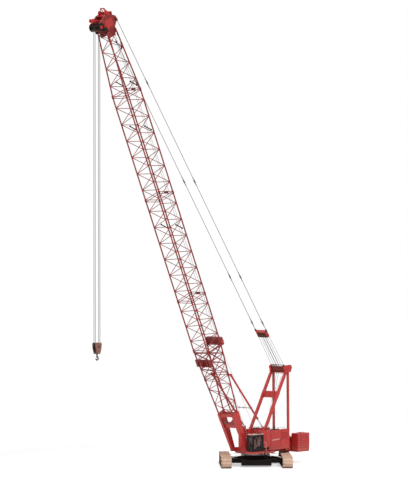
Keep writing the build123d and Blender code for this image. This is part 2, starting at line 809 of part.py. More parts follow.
cab_door_width = cab_door_front - cab_door_rear
cab_door_x = (cab_door_front + cab_door_rear) / 2
cab_door_height = wall_height - 60
cab_hinge_x = cab_door_rear - hinge_clearance
cab_hinge_levels = [wall_mid - cab_hinge_spread, wall_mid + cab_hinge_spread]
with BuildPart() as outer_panel:
    with BuildSketch(side_plane(ground, cab_x, cab_outer - cab_wall / 2, wall_mid)):
        Rectangle(cab_length, wall_height)
        with Locations((cab_door_x - cab_x, 0)):
            Rectangle(cab_door_width + 2 * cab_door_gap, cab_door_height + 2 * cab_door_gap, mode=Mode.SUBTRACT)
    extrude(amount=cab_wall / 2, both=True)
    add(hinge_pins(cab_hinge_x, cab_outer, 1, cab_hinge_levels, cab_hinge_length, 1))
outer_panel.part.label = "cab_outer_panel"
export_step(outer_panel.part, "parts/cab_outer_panel.step")

door_window_width = cab_door_width - 110
door_window_height = cab_door_height - 240
door_window_z = 70
door_plane = side_plane(ground, cab_door_x, cab_outer - cab_wall / 2, wall_mid)
with BuildPart() as cab_door:
    with BuildSketch(door_plane):
        Rectangle(cab_door_width, cab_door_height)
        with Locations((0, door_window_z)):
            RectangleRounded(door_window_width, door_window_height, window_corner, mode=Mode.SUBTRACT)
    extrude(amount=cab_wall / 2, both=True)
    add(hinge_barrels(cab_hinge_x, cab_outer, 1, cab_hinge_levels, cab_hinge_length, 1))
cab_door.part.label = "cab_door"
export_step(cab_door.part, "parts/cab_door.step")
with BuildPart() as cab_door_glass:
    with BuildSketch(door_plane):
        with Locations((0, door_window_z)):
            RectangleRounded(door_window_width - 2 * fit, door_window_height - 2 * fit, window_corner - fit)
    extrude(amount=glass_thickness / 2, both=True)
cab_door_glass.part.label = "cab_door_glass"
export_step(cab_door_glass.part, "parts/cab_door_glass.step")
with BuildPart() as cab_glass:
    add(glass)
cab_glass.part.label = "cab_glass"
export_step(cab_glass.part, "parts/cab_glass.step")

seat_x = cab_x - 120
cab_floor_top = cab_bottom + cab_wall + fit
with BuildPart() as seat:
    with BuildSketch(ground.offset(cab_floor_top)):
        with Locations((seat_x, cab_y)):
            Rectangle(seat_base[0], seat_base[1])
    extrude(amount=seat_base[2])
    with BuildSketch(ground.offset(cab_floor_top + seat_base[2])):
        with Locations((seat_x, cab_y)):
            RectangleRounded(seat_cushion[0], seat_cushion[1], 30)
    extrude(amount=seat_cushion[2])
    back_z = cab_floor_top + seat_base[2] + 40
    with BuildSketch(side_plane(ground, seat_x - seat_cushion[0] / 2, cab_y, back_z)):
        Polygon((0, 0), (50, 0), (10, seat_back_height), (-30, seat_back_height), align=None)
    extrude(amount=seat_cushion[1] / 2 - 10, both=True)
seat.part.label = "operator_seat"
export_step(seat.part, "parts/operator_seat.step")

with BuildPart() as console:
    with BuildSketch(ground.offset(cab_floor_top)):
        with Locations((cab_front - 150, cab_y)):
            Rectangle(90, 200)
    extrude(amount=330)
    with BuildSketch(ground.offset(cab_floor_top)):
        with Locations((seat_x + 40, cab_inner + 75)):
            Rectangle(300, 70)
    extrude(amount=300)
console.part.label = "control_console"
export_step(console.part, "parts/control_console.step")

# ---- boom ----------------------------------------------------------------------
foot_slope = boom_depth / butt_length


def half_depth(s):
    """Half the chord spacing front to back, at a distance s from the foot pin."""
    top_start = butt_length + sum(insert_lengths)
    if s < butt_length:
        return s * foot_slope / 2
    if s < top_start:
        return boom_depth / 2
    share = (s - top_start) / top_length
    return boom_depth / 2 + (head_depth - boom_depth) / 2 * share


def half_width(s):
    """Half the chord spacing across, at a distance s from the foot pin."""
    top_start = butt_length + sum(insert_lengths)
    share = max(0, (s - top_start) / top_length)
    return boom_width / 2 + (head_width - boom_width) / 2 * share


def chord_point(s, y_sign, w_sign):
    return boom.from_local_coords(Vector(s, y_sign * half_width(s), w_sign * half_depth(s)))


def between_chords(first, second, chord_way, radius):
    """A bar between two points on chord axes, its ends cut back clear of both chords."""
    way = (second - first).normalized()
    lean = abs(way.dot(chord_way.normalized()))
    back = (chord_radius + fit + radius * lean) / (1 - lean**2) ** 0.5
    return bar(first + way * back, second - way * back, radius)


# the four faces, each as its two chords: (y sign, w sign) twice
boom_faces = [((1, -1), (1, 1)), ((-1, 1), (-1, -1)), ((1, -1), (-1, -1)), ((-1, 1), (1, 1))]


def chords(start, end):
    """The four chords of one boom section, running a little past both its ends."""
    solids = []
    for y_sign in (1, -1):
        for w_sign in (1, -1):
            low, high = chord_point(start, y_sign, w_sign), chord_point(end, y_sign, w_sign)
            spare = (high - low).normalized() * chord_radius
            solids.append(bar(low - spare, high + spare, chord_radius))
    return solids


def lacing(start, end):
    """Battens near both ends and zigzag lacing of one boom section."""
    solids = []
    first = start + 2 * batten_inset
    bays = round((end - start - 4 * batten_inset) / (lacing_pitch / 2))
    step = (end - start - 4 * batten_inset) / bays
    for one, other in boom_faces:
        chord_way = chord_point(end, *one) - chord_point(start, *one)
        for s in (start + batten_inset * 0.8, end - batten_inset * 0.8):
            start_point = chord_point(s, *one)
            end_point = chord_point(s, *other)
            solids.append(between_chords(start_point, end_point, chord_way, lacing_radius))
        for bay in range(bays):
            low, high = (one, other) if bay % 2 == 0 else (other, one)
            here = chord_point(first + bay * step, *low)
            there = chord_point(first + (bay + 1) * step, *high)
            solids.append(between_chords(here, there, chord_way, lacing_radius))
    return solids


leg_half = foot_leg_length * foot_slope / 2 + chord_radius
with BuildPart() as butt_legs:
    for sign in (-1, 1):
        with BuildSketch(side_plane(boom, y=sign * boom_leg_y)):
            Circle(foot_lug_radius)
            Polygon((0, -foot_lug_radius), (foot_leg_length, -leg_half), (foot_leg_length, leg_half),
                    (0, foot_lug_radius), align=None)
            Circle(foot_pin_radius + fit, mode=Mode.SUBTRACT)
        extrude(amount=foot_leg_thickness / 2, both=True)
    with BuildSketch(cross_plane(boom, x=foot_leg_length - 900)):
        Rectangle(boom_width - foot_leg_thickness + 10, 220)
    extrude(amount=260)
    with BuildSketch(cross_plane(boom, x=foot_leg_length - 160)):
        with Locations((0, -leg_half + 90), (0, leg_half - 90)):
            Rectangle(boom_width - foot_leg_thickness + 10, 120)
    extrude(amount=120)
butt_legs.part.label = "boom_foot_legs"
export_step(butt_legs.part, "parts/boom_foot_legs.step")

section_table = {
    "boom_lower_butt": (foot_leg_length, 4600),
    "boom_upper_butt": (4600, butt_length),
}
s = butt_length
for number, length in enumerate(insert_lengths, 1):
    section_table[f"boom_insert_{number}"] = (s, s + length)
    s += length
section_table["boom_top_section"] = (s, s + top_length)

for name, (start, end) in section_table.items():
    with BuildPart() as section:
        add(chords(start, end))
        split(bisect_by=cross_plane(boom, x=start + fit), keep=Keep.TOP)
        split(bisect_by=cross_plane(boom, x=end), keep=Keep.BOTTOM)
        add(lacing(start, end))
    section.part.label = name
    export_step(section.part, f"parts/{name}.step")

# head: two side plates inside the chords, cross tubes, load sheave shaft, pendant pin and jib bores
plate_y = half_width(boom_top_s) - chord_radius - fit - head_plate_thickness / 2
plate_w = head_depth / 2 - 80
shoulder_w = head_depth / 2 + 15     # the plates' shoulders lie against the chords' ends
shoulder_s = boom_top_s - 30
head_corners = [
    (boom_top_s - 380, -plate_w), (shoulder_s, -plate_w), (shoulder_s, -shoulder_w),
    (boom_top_s + 30, -shoulder_w), (head_sheave_s - 190, -head_sheave_drop - 90),
    (head_sheave_s + 190, -head_sheave_drop - 90), (jib_lug_s + 60, -120), (jib_lug_s + 60, 120),
    (pendant_top_s + 120, pendant_top_w + 60), (pendant_top_s - 120, pendant_top_w + 60),
    (boom_top_s + 30, shoulder_w), (shoulder_s, shoulder_w), (shoulder_s, plate_w), (boom_top_s - 380, plate_w),
]
with BuildPart() as boom_head:
    for sign in (-1, 1):
        with BuildSketch(side_plane(boom, y=sign * plate_y)):
            Polygon(*head_corners, align=None)
            with Locations((jib_lug_s, 0)):
                Circle(jib_lug_bore, mode=Mode.SUBTRACT)
        extrude(amount=head_plate_thickness / 2, both=True)
    with BuildSketch(side_plane(boom)):
        with Locations((head_sheave_s, -head_sheave_drop)):
            Circle(head_shaft_radius)
        with Locations((boom_top_s - 200, 0), (jib_lug_s - 160, 60)):
            Circle(head_tube_radius)
        with Locations((pendant_top_s - 330, 200)):
            Rectangle(160, 60)
    extrude(amount=plate_y, both=True)
    with BuildSketch(side_plane(boom, pendant_top_s, 0, pendant_top_w)):
        Circle(head_pin_radius)
    extrude(amount=pendant_y + pendant_radius + 15, both=True)
boom_head.part.label = "boom_head"
export_step(boom_head.part, "parts/boom_head.step")

head_sheave_half = plate_y - head_plate_thickness / 2 - play
with BuildPart() as head_sheaves:
    add(sheave_pack(side_plane(boom, head_sheave_s, 0, -head_sheave_drop), head_sheave_radius,
                    head_sheave_half, head_shaft_radius, head_sheave_count))
head_sheaves.part.label = "boom_head_sheaves"
export_step(head_sheaves.part, "parts/boom_head_sheaves.step")

# rope guide on the front face and service box on the rear face, both at the top of the butt
guide_start = butt_length - 700
guide_w = half_depth(guide_start + guide_length / 2) + chord_radius + 2 * fit + guide_depth / 2
with BuildPart() as rope_guide:
    with BuildSketch(side_plane(boom, guide_start, 0, -guide_w)):
        Rectangle(guide_length, guide_depth)
    extrude(amount=boom_width / 2 + rear_box_past_chord, both=True)
    with BuildSketch(side_plane(boom, guide_start, 0, -guide_w - guide_depth / 2 - guide_wheel_out)):
        Circle(guide_wheel_radius)
    extrude(amount=guide_wheel_half_width, both=True)
rope_guide.part.label = "boom_rope_guide"
export_step(rope_guide.part, "parts/boom_rope_guide.step")

box_w = boom_depth / 2 + chord_radius + fit
with BuildPart() as rear_box:
    with BuildSketch(side_plane(boom, butt_length + 40, 0, box_w + rear_box_size[1] / 2)):
        Rectangle(*rear_box_size)
        chamfer(vertices(), length=30)
    extrude(amount=boom_width / 2 + rear_box_past_chord, both=True)
rear_box.part.label = "boom_rear_box"
export_step(rear_box.part, "parts/boom_rear_box.step")

# ---- boom stops ----------------------------------------------------------------
stop_foot = Vector(stop_foot_x, 0, stop_foot_z)
stop_w = half_depth(stop_s)
stop_top = boom.from_local_coords(Vector(stop_s, 0, stop_w))
stop_way = (stop_foot - stop_top).normalized()
stop_length = (stop_foot - stop_top).length
stop = Plane(origin=stop_top, x_dir=stop_way, z_dir=Vector(-stop_way.Z, 0, stop_way.X))
for side, sign in sides.items():
    y = sign * stop_y
    with BuildPart() as tube:
        tube_end = stop.from_local_coords(Vector(stop_tube_length, y, 0))
        add(bar(stop.from_local_coords(Vector(40, y, 0)), tube_end,
                stop_tube_radius, stop_rod_radius + fit))
        with BuildSketch(side_plane(stop, y=y)):
            Circle(stop_head_radius)
        extrude(amount=stop_head_width / 2, both=True)
        with BuildSketch(side_plane(stop, y=sign * (boom_leg_y + chord_radius + fit))):
            Circle(stop_pin_radius)
        extrude(amount=-sign * (stop_y - boom_leg_y - chord_radius))
    tube.part.label = f"{side}_stop_tube"
    export_step(tube.part, f"parts/{side}_stop_tube.step")
    with BuildPart() as rod:
        add(bar(stop.from_local_coords(Vector(stop_rod_start, y, 0)),
                stop.from_local_coords(Vector(stop_length - stop_pin_radius - 5, y, 0)), stop_rod_radius))
        with BuildSketch(side_plane(stop, stop_length, y, 0)):
            Circle(stop_eye_radius)
            Circle(stop_pin_radius, mode=Mode.SUBTRACT)
        extrude(amount=stop_eye_thickness / 2, both=True)
    rod.part.label = f"{side}_stop_rod"
    export_step(rod.part, f"parts/{side}_stop_rod.step")

# ---- hook ----------------------------------------------------------------------
hook_x = head_sheave_axis.X
fall_offset = groove_share * head_sheave_radius + fall_radius + fit
sheave_pitch = 2 * head_sheave_half / head_sheave_count
block_width = 2 * (sheave_pitch + play + block_plate_thickness)
with BuildPart() as falls:
    for x in (-fall_offset, fall_offset):
        for y in (-sheave_pitch / 2, sheave_pitch / 2):
            top = Vector(hook_x + x, y, head_sheave_axis.Z)
            add(bar(Vector(hook_x + x, y, block_sheave_z), top, fall_radius))
falls.part.label = "hoist_falls"
export_step(falls.part, "parts/hoist_falls.step")

block_plane = side_plane(ground, hook_x, 0, block_sheave_z)
with BuildPart() as hook_block:
    for sign in (-1, 1):
        side_y = sign * (block_width - block_plate_thickness) / 2
        with BuildSketch(side_plane(ground, hook_x, side_y, block_sheave_z)):
            Polygon((-200, 220), (200, 220), (235, 120), (190, -160), (110, -380), (-110, -380), (-190, -160),
                    (-235, 120), align=None)
        extrude(amount=block_plate_thickness / 2, both=True)
    with BuildSketch(block_plane):
        Circle(block_shaft_radius)
        with Locations((0, -310)):
            Rectangle(180, 110)
    extrude(amount=(block_width - block_plate_thickness) / 2, both=True)
    with BuildSketch(ground.offset(block_sheave_z - 380)):
        with Locations((hook_x, 0)):
            Circle(hook_shank_radius + fit)
    extrude(amount=140, mode=Mode.SUBTRACT)
hook_block.part.label = "hook_block"
export_step(hook_block.part, "parts/hook_block.step")

with BuildPart() as block_sheaves:
    add(sheave_pack(block_plane, head_sheave_radius, sheave_pitch, block_shaft_radius, 2))
block_sheaves.part.label = "hook_block_sheaves"
export_step(block_sheaves.part, "parts/hook_block_sheaves.step")

shank_top = block_sheave_z - shank_top_drop
hook_mid_z = shank_top - hook_drop
with BuildPart() as hook:
    with BuildSketch(ground.offset(hook_mid_z + hook_radius - 12)):
        with Locations((hook_x, 0)):
            Circle(hook_shank_radius)
    extrude(amount=shank_top - hook_mid_z - hook_radius + 12)
    with BuildLine(Plane(origin=(hook_x, 0, hook_mid_z), x_dir=(1, 0, 0), z_dir=(0, -1, 0))) as curve:
        CenterArc((0, 0), hook_radius, 90, hook_bend_degrees)
    with BuildSketch(Plane(origin=curve.line @ 0, z_dir=curve.line % 0)):
        Circle(hook_thickness)
    sweep()
hook.part.label = "hook"
export_step(hook.part, "parts/hook.step")
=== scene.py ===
"""Looks of a half-size lattice-boom crawler crane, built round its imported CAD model, in metres."""
import json
from math import cos, pi, radians, sin

import bpy
from mathutils import Matrix, Vector


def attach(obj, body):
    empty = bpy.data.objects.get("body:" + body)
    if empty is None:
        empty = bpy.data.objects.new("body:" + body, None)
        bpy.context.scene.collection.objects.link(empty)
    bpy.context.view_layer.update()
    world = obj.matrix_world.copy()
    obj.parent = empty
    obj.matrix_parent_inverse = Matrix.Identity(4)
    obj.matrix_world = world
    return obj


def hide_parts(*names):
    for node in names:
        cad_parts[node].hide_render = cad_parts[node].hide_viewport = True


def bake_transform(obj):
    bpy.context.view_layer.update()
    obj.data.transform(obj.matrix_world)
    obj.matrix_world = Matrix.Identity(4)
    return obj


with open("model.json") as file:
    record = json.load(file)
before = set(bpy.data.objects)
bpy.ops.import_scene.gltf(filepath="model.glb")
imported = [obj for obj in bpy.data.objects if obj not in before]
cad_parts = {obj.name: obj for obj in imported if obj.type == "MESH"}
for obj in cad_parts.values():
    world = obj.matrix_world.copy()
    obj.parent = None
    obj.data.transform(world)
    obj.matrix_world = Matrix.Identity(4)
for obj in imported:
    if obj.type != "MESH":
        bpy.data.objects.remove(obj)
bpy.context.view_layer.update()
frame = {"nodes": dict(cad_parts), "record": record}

record_joints = {joint["name"]: joint for joint in frame["record"]["behaviour"]["joints"]}
sides = {"left": 1, "right": -1}

# ---- places ----------------------------------------------------------------------
crawler = Matrix.Rotation(radians(45), 4, "Z")
boom_angle = radians(65.5)
foot = Vector(record_joints["boom_luff"]["pos_m"])


def plane_matrix(origin, along):
    """Local X runs along, Y is the crane's left, Z is square to both."""
    along = Vector(along).normalized()
    left = Vector((0, 1, 0))
    up = along.cross(left)
    return Matrix((
        (along.x, left.x, up.x, origin[0]),
        (along.y, left.y, up.y, origin[1]),
        (along.z, left.z, up.z, origin[2]),
        (0, 0, 0, 1),
    ))


boom = plane_matrix(foot, (cos(boom_angle), 0, sin(boom_angle)))
gantry_top = Vector(record_joints["gantry_guard_turn"]["pos_m"])
pendant_top = Vector(record_joints["pendant_swing"]["pos_m"])
bridle = plane_matrix(gantry_top, pendant_top - gantry_top)
equalizer_axis = Vector(record_joints["equalizer_sheave_turn"]["pos_m"])
head_axis = Vector(record_joints["head_sheave_turn"]["pos_m"])
block_axis = Vector(record_joints["block_sheave_turn"]["pos_m"])

# ---- materials -------------------------------------------------------------------


def add_node(tree, kind, settings=None, **inputs):
    node = tree.nodes.new(kind)
    for name, value in (settings or {}).items():
        setattr(node, name, value)
    for name, value in inputs.items():
        node.inputs[name.replace("_", " ")].default_value = value
    return node


def link(tree, source, target):
    tree.links.new(source, target)


def new_group(name, inputs, outputs):
    """A shader node group with named sockets; returns it with its two end nodes."""
    kinds = {"value": "NodeSocketFloat", "colour": "NodeSocketColor", "vector": "NodeSocketVector"}
    group = bpy.data.node_groups.new(name, "ShaderNodeTree")
    for socket, kind in inputs.items():
        group.interface.new_socket(name=socket, in_out="INPUT", socket_type=kinds[kind])
    for socket, kind in outputs.items():
        group.interface.new_socket(name=socket, in_out="OUTPUT", socket_type=kinds[kind])
    return group, group.nodes.new("NodeGroupInput"), group.nodes.new("NodeGroupOutput")


def mixed(tree, factor, first, second, blend="MIX"):
    """A colour mix node of these three sockets; returns its result socket."""
    node = tree.nodes.new("ShaderNodeMix")
    node.data_type = "RGBA"
    node.blend_type = blend
    for socket, source in ((0, factor), (6, first), (7, second)):
        if isinstance(source, (int, float)):
            node.inputs[socket].default_value = source
        elif isinstance(source, tuple):
            node.inputs[socket].default_value = source
        else:
            link(tree, source, node.inputs[socket])
    return node.outputs[2]


def counted(tree, operation, first, second=0.0):
    """A math node of two sockets or numbers; returns its value socket."""
    node = add_node(tree, "ShaderNodeMath", {"operation": operation, "use_clamp": operation != "POWER"})
    for socket, source in enumerate((first, second)):
        if isinstance(source, (int, float)):
            node.inputs[socket].default_value = source
        else:
            link(tree, source, node.inputs[socket])
    return node.outputs[0]


def noise_mask(tree, place, scale, low, high, stretch=(1, 1, 1), detail=4.0):
    """A 0 to 1 mask of noise between two levels, stretched along the axes."""
    mapping = add_node(tree, "ShaderNodeMapping", Scale=stretch)
    link(tree, place, mapping.inputs["Vector"])
    noise = add_node(tree, "ShaderNodeTexNoise", Scale=scale, Detail=detail, Roughness=0.6)
    link(tree, mapping.outputs["Vector"], noise.inputs["Vector"])
    level = add_node(tree, "ShaderNodeMapRange", {"clamp": True})
    level.inputs["From Min"].default_value = low
    level.inputs["From Max"].default_value = high
    link(tree, noise.outputs[0], level.inputs["Value"])
    return level.outputs[0]


weather, weather_in, weather_out = new_group(
    "weathering",
    {"Place": "vector", "Paint": "colour", "Grime": "colour", "Dust": "colour",
     "Grime Amount": "value", "Dust Amount": "value", "Dust Height": "value", "Gloss": "value"},
    {"Colour": "colour", "Roughness": "value", "Height": "value"},
)
fade = noise_mask(weather, weather_in.outputs["Place"], 1.3, 0.3, 0.7)
blotch = noise_mask(weather, weather_in.outputs["Place"], 17.0, 0.54, 0.78, detail=8.0)
streak = noise_mask(weather, weather_in.outputs["Place"], 5.0, 0.56, 0.8, stretch=(2.4, 2.4, 0.22))
grain = noise_mask(weather, weather_in.outputs["Place"], 90.0, 0.2, 0.8)
shaded = mixed(weather, 0.22, weather_in.outputs["Paint"], (0, 0, 0, 1))
faded = mixed(weather, counted(weather, "MULTIPLY", fade, 0.55), weather_in.outputs["Paint"], shaded)
dirt = counted(weather, "MULTIPLY", counted(weather, "MAXIMUM", blotch, streak),
               weather_in.outputs["Grime Amount"])
soiled = mixed(weather, dirt, faded, weather_in.outputs["Grime"])
height_axis = weather.nodes.new("ShaderNodeSeparateXYZ")
link(weather, weather_in.outputs["Place"], height_axis.inputs[0])
# below Dust Height the colour turns towards the Dust colour: pale dust on most finishes, and a dark tone on
# some finishes, which only makes them darker towards the bottom
low_share = counted(weather, "SUBTRACT", 1.0, counted(weather, "DIVIDE", height_axis.outputs[2],
                                                      weather_in.outputs["Dust Height"]))
bottom_tint = counted(weather, "MULTIPLY",
                counted(weather, "MULTIPLY", low_share, counted(weather, "ADD", fade, 0.35)),
                weather_in.outputs["Dust Amount"])
link(weather, mixed(weather, bottom_tint, soiled, weather_in.outputs["Dust"]), weather_out.inputs["Colour"])
rougher = counted(weather, "ADD", counted(weather, "MULTIPLY", dirt, 0.25),
                  counted(weather, "MULTIPLY", bottom_tint, 0.35))
link(weather, counted(weather, "ADD", weather_in.outputs["Gloss"], rougher),
     weather_out.inputs["Roughness"])
link(weather,
     counted(weather, "ADD", counted(weather, "MULTIPLY", grain, 0.4),
             counted(weather, "MULTIPLY", dirt, 0.4)), weather_out.inputs["Height"])

rust_brown = (0.16, 0.07, 0.04, 1)
soot = (0.03, 0.025, 0.022, 1)
pale_dust = (0.50, 0.38, 0.29, 1)
# a dark tone for the bottom of the finishes listed next, used in place of pale dust: it only makes them
# darker towards the bottom
dark_low_tone = (0.045, 0.026, 0.018, 1)
dark_low_finishes = ("track_steel", "wheel_steel", "black_paint", "hook_red", "boom_red")
# each finish: record slot, paint, grime, grime amount, dust amount, dust height,
# roughness, metallic, coat, specular, bump
finish_table = {
    "red_paint": ("crane_red", (0.44, 0.021, 0.017, 1), (0.13, 0.014, 0.012, 1), 0.55,
                  0.30, 1.2, 0.40, 0.0, 0.10, 0.35, 0.0010),
    "boom_red": ("crane_red", (0.25, 0.018, 0.015, 1), (0.025, 0.014, 0.012, 1), 0.90,
                 0.10, 1.2, 0.42, 0.0, 0.08, 0.30, 0.0010),
    "dark_red_paint": ("crane_red", (0.19, 0.016, 0.013, 1), soot, 0.55, 0.2, 1.2, 0.45,
                       0.0, 0.08, 0.30, 0.0010),
    "pale_paint": ("pale_paint", (0.62, 0.40, 0.36, 1), (0.34, 0.12, 0.10, 1), 0.5, 0.2,
                   1.2, 0.40, 0.0, 0.1, 0.35, 0.0008),
    "black_paint": ("black_paint", (0.006, 0.004, 0.004, 1), (0.030, 0.018, 0.015, 1),
                    0.35, 0.10, 0.5, 0.60, 0.0, 0.0, 0.08, 0.0010),
    "track_steel": ("track_steel", (0.56, 0.38, 0.28, 1), (0.14, 0.075, 0.05, 1), 1.0,
                    1.0, 0.16, 0.62, 0.15, 0.0, 0.40, 0.0030),
    "wheel_steel": ("track_steel", (0.20, 0.12, 0.09, 1), (0.05, 0.03, 0.025, 1), 0.90,
                    0.8, 0.3, 0.65, 0.15, 0.0, 0.35, 0.0025),
    "sheave_steel": ("sheave_steel", (0.10, 0.045, 0.04, 1), (0.05, 0.025, 0.02, 1),
                     0.5, 0.1, 1.0, 0.50, 0.3, 0.0, 0.35, 0.0012),
    "sheave_red": ("sheave_steel", (0.27, 0.035, 0.028, 1), (0.04, 0.02, 0.015, 1), 0.7,
                   0.0, 1.0, 0.50, 0.1, 0.0, 0.35, 0.0012),
    "pale_hose": ("grey_steel", (0.58, 0.56, 0.48, 1), (0.20, 0.17, 0.13, 1), 0.5, 0.0,
                  1.0, 0.55, 0.0, 0.0, 0.35, 0.0008),
    "dark_steel": ("sheave_steel", (0.014, 0.011, 0.011, 1), (0.06, 0.03, 0.02, 1),
                   0.35, 0.1, 1.0, 0.55, 0.1, 0.0, 0.12, 0.0012),
    "grey_steel": ("grey_steel", (0.42, 0.41, 0.40, 1), rust_brown, 0.30, 0.2, 1.2,
                   0.45, 0.4, 0.0, 0.45, 0.0010),
    "bright_steel": ("bright_steel", (0.66, 0.66, 0.67, 1), (0.35, 0.33, 0.31, 1), 0.2,
                     0.0, 1.0, 0.16, 0.95, 0.0, 0.5, 0.0003),
    "hook_steel": ("hook_steel", (0.020, 0.016, 0.015, 1), (0.08, 0.04, 0.025, 1), 0.4,
                   0.0, 1.0, 0.50, 0.1, 0.0, 0.15, 0.0015),
    "hook_red": ("hook_red", (0.25, 0.105, 0.075, 1), (0.07, 0.035, 0.025, 1), 0.9, 0.0,
                 1.0, 0.50, 0.1, 0.05, 0.35, 0.0012),
    "dark_plastic": ("dark_plastic", (0.012, 0.009, 0.009, 1), (0.045, 0.032, 0.028, 1),
                     0.3, 0.05, 1.2, 0.60, 0.0, 0.0, 0.12, 0.0006),
}
finishes = {}
for finish, values in finish_table.items():
    slot, paint, grime, grime_amount, dust_amount, dust_height, gloss, metal, coat, specular, bump = values
    material = bpy.data.materials.new(finish)
    material.use_nodes = True
    tree = material.node_tree
    shader = tree.nodes["Principled BSDF"]
    where = tree.nodes.new("ShaderNodeTexCoord")
    worn = tree.nodes.new("ShaderNodeGroup")
    worn.node_tree = weather
    link(tree, where.outputs["Object"], worn.inputs["Place"])
    for socket, value in (("Paint", paint), ("Grime", grime),
                          ("Dust", dark_low_tone if finish in dark_low_finishes else pale_dust), ("Grime Amount", grime_amount),
                          ("Dust Amount", dust_amount), ("Dust Height", dust_height), ("Gloss", gloss)):
        worn.inputs[socket].default_value = value
    relief = add_node(tree, "ShaderNodeBump", Strength=0.6, Distance=bump)
    link(tree, worn.outputs["Height"], relief.inputs["Height"])
    link(tree, worn.outputs["Colour"], shader.inputs["Base Color"])
    link(tree, worn.outputs["Roughness"], shader.inputs["Roughness"])
    link(tree, relief.outputs["Normal"], shader.inputs["Normal"])
    shader.inputs["Metallic"].default_value = metal
    shader.inputs["Coat Weight"].default_value = coat
    shader.inputs["Coat Roughness"].default_value = 0.2
    shader.inputs["Specular IOR Level"].default_value = specular
    finishes[finish] = material


def patterned(name, dark, light, scale, roughness, metal, bump, kind="BANDS"):
    """A material with a fine wave across it, such as rope lay or weave, over a slow change of tone."""
    material = bpy.data.materials.new(name)
    material.use_nodes = True
    tree = material.node_tree
    shader = tree.nodes["Principled BSDF"]
    where = tree.nodes.new("ShaderNodeTexCoord")
    wave = add_node(tree, "ShaderNodeTexWave", {"bands_direction": "DIAGONAL", "wave_type": kind},
                    Scale=scale, Distortion=0.6, Detail=2.0)
    link(tree, where.outputs["Object"], wave.inputs["Vector"])
    tone = noise_mask(tree, where.outputs["Object"], 3.0, 0.3, 0.7)
    share = counted(tree, "MULTIPLY",
                    counted(tree, "ADD", wave.outputs["Fac"], counted(tree, "MULTIPLY", tone, 0.5)), 0.66)
    link(tree, mixed(tree, share, dark, light), shader.inputs["Base Color"])
    relief = add_node(tree, "ShaderNodeBump", Strength=0.7, Distance=bump)
    link(tree, wave.outputs["Fac"], relief.inputs["Height"])
    link(tree, relief.outputs["Normal"], shader.inputs["Normal"])
    shader.inputs["Roughness"].default_value = roughness
    shader.inputs["Metallic"].default_value = metal
    finishes[name] = material


patterned("rope_steel", (0.018, 0.016, 0.016, 1),
          (0.085, 0.08, 0.08, 1), 30.0, 0.55, 0.3, 0.002)
patterned("new_rope", (0.26, 0.26, 0.265, 1), (0.58, 0.58, 0.59, 1), 30.0, 0.42, 0.4, 0.002)
patterned("seat_fabric", (0.34, 0.14, 0.13, 1),
          (0.66, 0.42, 0.40, 1), 60.0, 0.85, 0.0, 0.001)
patterned("tread_plate", (0.05, 0.045, 0.045, 1),
          (0.16, 0.15, 0.145, 1), 22.0, 0.5, 0.4, 0.003, "RINGS")

glass = bpy.data.materials.new("window_glass")
glass.use_nodes = True
glass_shader = glass.node_tree.nodes["Principled BSDF"]
glass_where = glass.node_tree.nodes.new("ShaderNodeTexCoord")
glass_film = noise_mask(glass.node_tree, glass_where.outputs["Object"], 6.0, 0.35, 0.8)
link(glass.node_tree, mixed(glass.node_tree, glass_film, (0.030, 0.018, 0.016, 1), (0.07, 0.045, 0.04, 1)),
     glass_shader.inputs["Base Color"])
link(glass.node_tree,
     counted(glass.node_tree, "ADD", counted(glass.node_tree, "MULTIPLY", glass_film, 0.12), 0.05),
     glass_shader.inputs["Roughness"])
glass_shader.inputs["Alpha"].default_value = 0.22
glass_shader.inputs["Specular IOR Level"].default_value = 0.35
finishes["window_glass"] = glass

# ---- modelling, as by hand ---------------------------------------------------------
bpy.context.tool_settings.mesh_select_mode = (False, False, True)


def deselect():
    for thing in bpy.context.selected_objects:
        thing.select_set(False)


def hold(piece):
    """Makes piece the only one selected, and the active one."""
    deselect()
    piece.select_set(True)
    bpy.context.view_layer.objects.active = piece


def open_mesh(piece, wanted=None):
    """Edit mode on piece, with all faces selected or those that wanted(face) picks."""
    hold(piece)
    mesh = piece.data
    for parts in (mesh.vertices, mesh.edges, mesh.polygons):
        parts.foreach_set("select", [False] * len(parts))
    for face in mesh.polygons:
        face.select = wanted is None or bool(wanted(face))
    bpy.ops.object.mode_set(mode="EDIT")
    bpy.ops.mesh.select_mode(type="FACE")


def shut_mesh():
    bpy.ops.object.mode_set(mode="OBJECT")


def bake_place(piece):
    hold(piece)
    bpy.ops.object.transform_apply(location=True, rotation=True, scale=True)
    return piece


def block(low, high, edge=0.004, segments=1):
    """A box between two opposite corners, given in either order, its edges broken."""
    low, high = Vector(map(min, low, high)), Vector(map(max, low, high))
    deselect()
    bpy.ops.mesh.primitive_cube_add(size=1, location=(low + high) / 2, scale=high - low)
    piece = bake_place(bpy.context.object)
    open_mesh(piece)
    bpy.ops.mesh.bevel(offset=edge, segments=segments, affect="EDGES")
    shut_mesh()
    return piece


def rod(start, end, radius, sides=10, edge=0.0015):
    """A round bar between two points, its rims broken."""
    start, end = Vector(start), Vector(end)
    along = end - start
    deselect()
    bpy.ops.mesh.primitive_cylinder_add(vertices=sides, radius=radius, depth=along.length,
                                        location=(start + end) / 2,
                                        rotation=along.to_track_quat("Z", "Y").to_euler())
    piece = bake_place(bpy.context.object)
    open_mesh(piece, lambda face: len(face.vertices) > 4)
    bpy.ops.mesh.bevel(offset=edge, segments=1, affect="EDGES")
    shut_mesh()
    return piece


def line(start, end, radius, sides=8):
    """A taut rope: it has corners only at its two ends, so it stays straight between two bodies."""
    start, end = Vector(start), Vector(end)
    along = end - start
    deselect()
    bpy.ops.mesh.primitive_cylinder_add(vertices=sides, radius=radius, depth=along.length,
                                        location=(start + end) / 2,
                                        rotation=along.to_track_quat("Z", "Y").to_euler())
    piece = bake_place(bpy.context.object)
    open_mesh(piece, lambda face: len(face.vertices) > 4)
    bpy.ops.mesh.inset(thickness=radius * 0.35, use_even_offset=True)
    shut_mesh()
    return piece


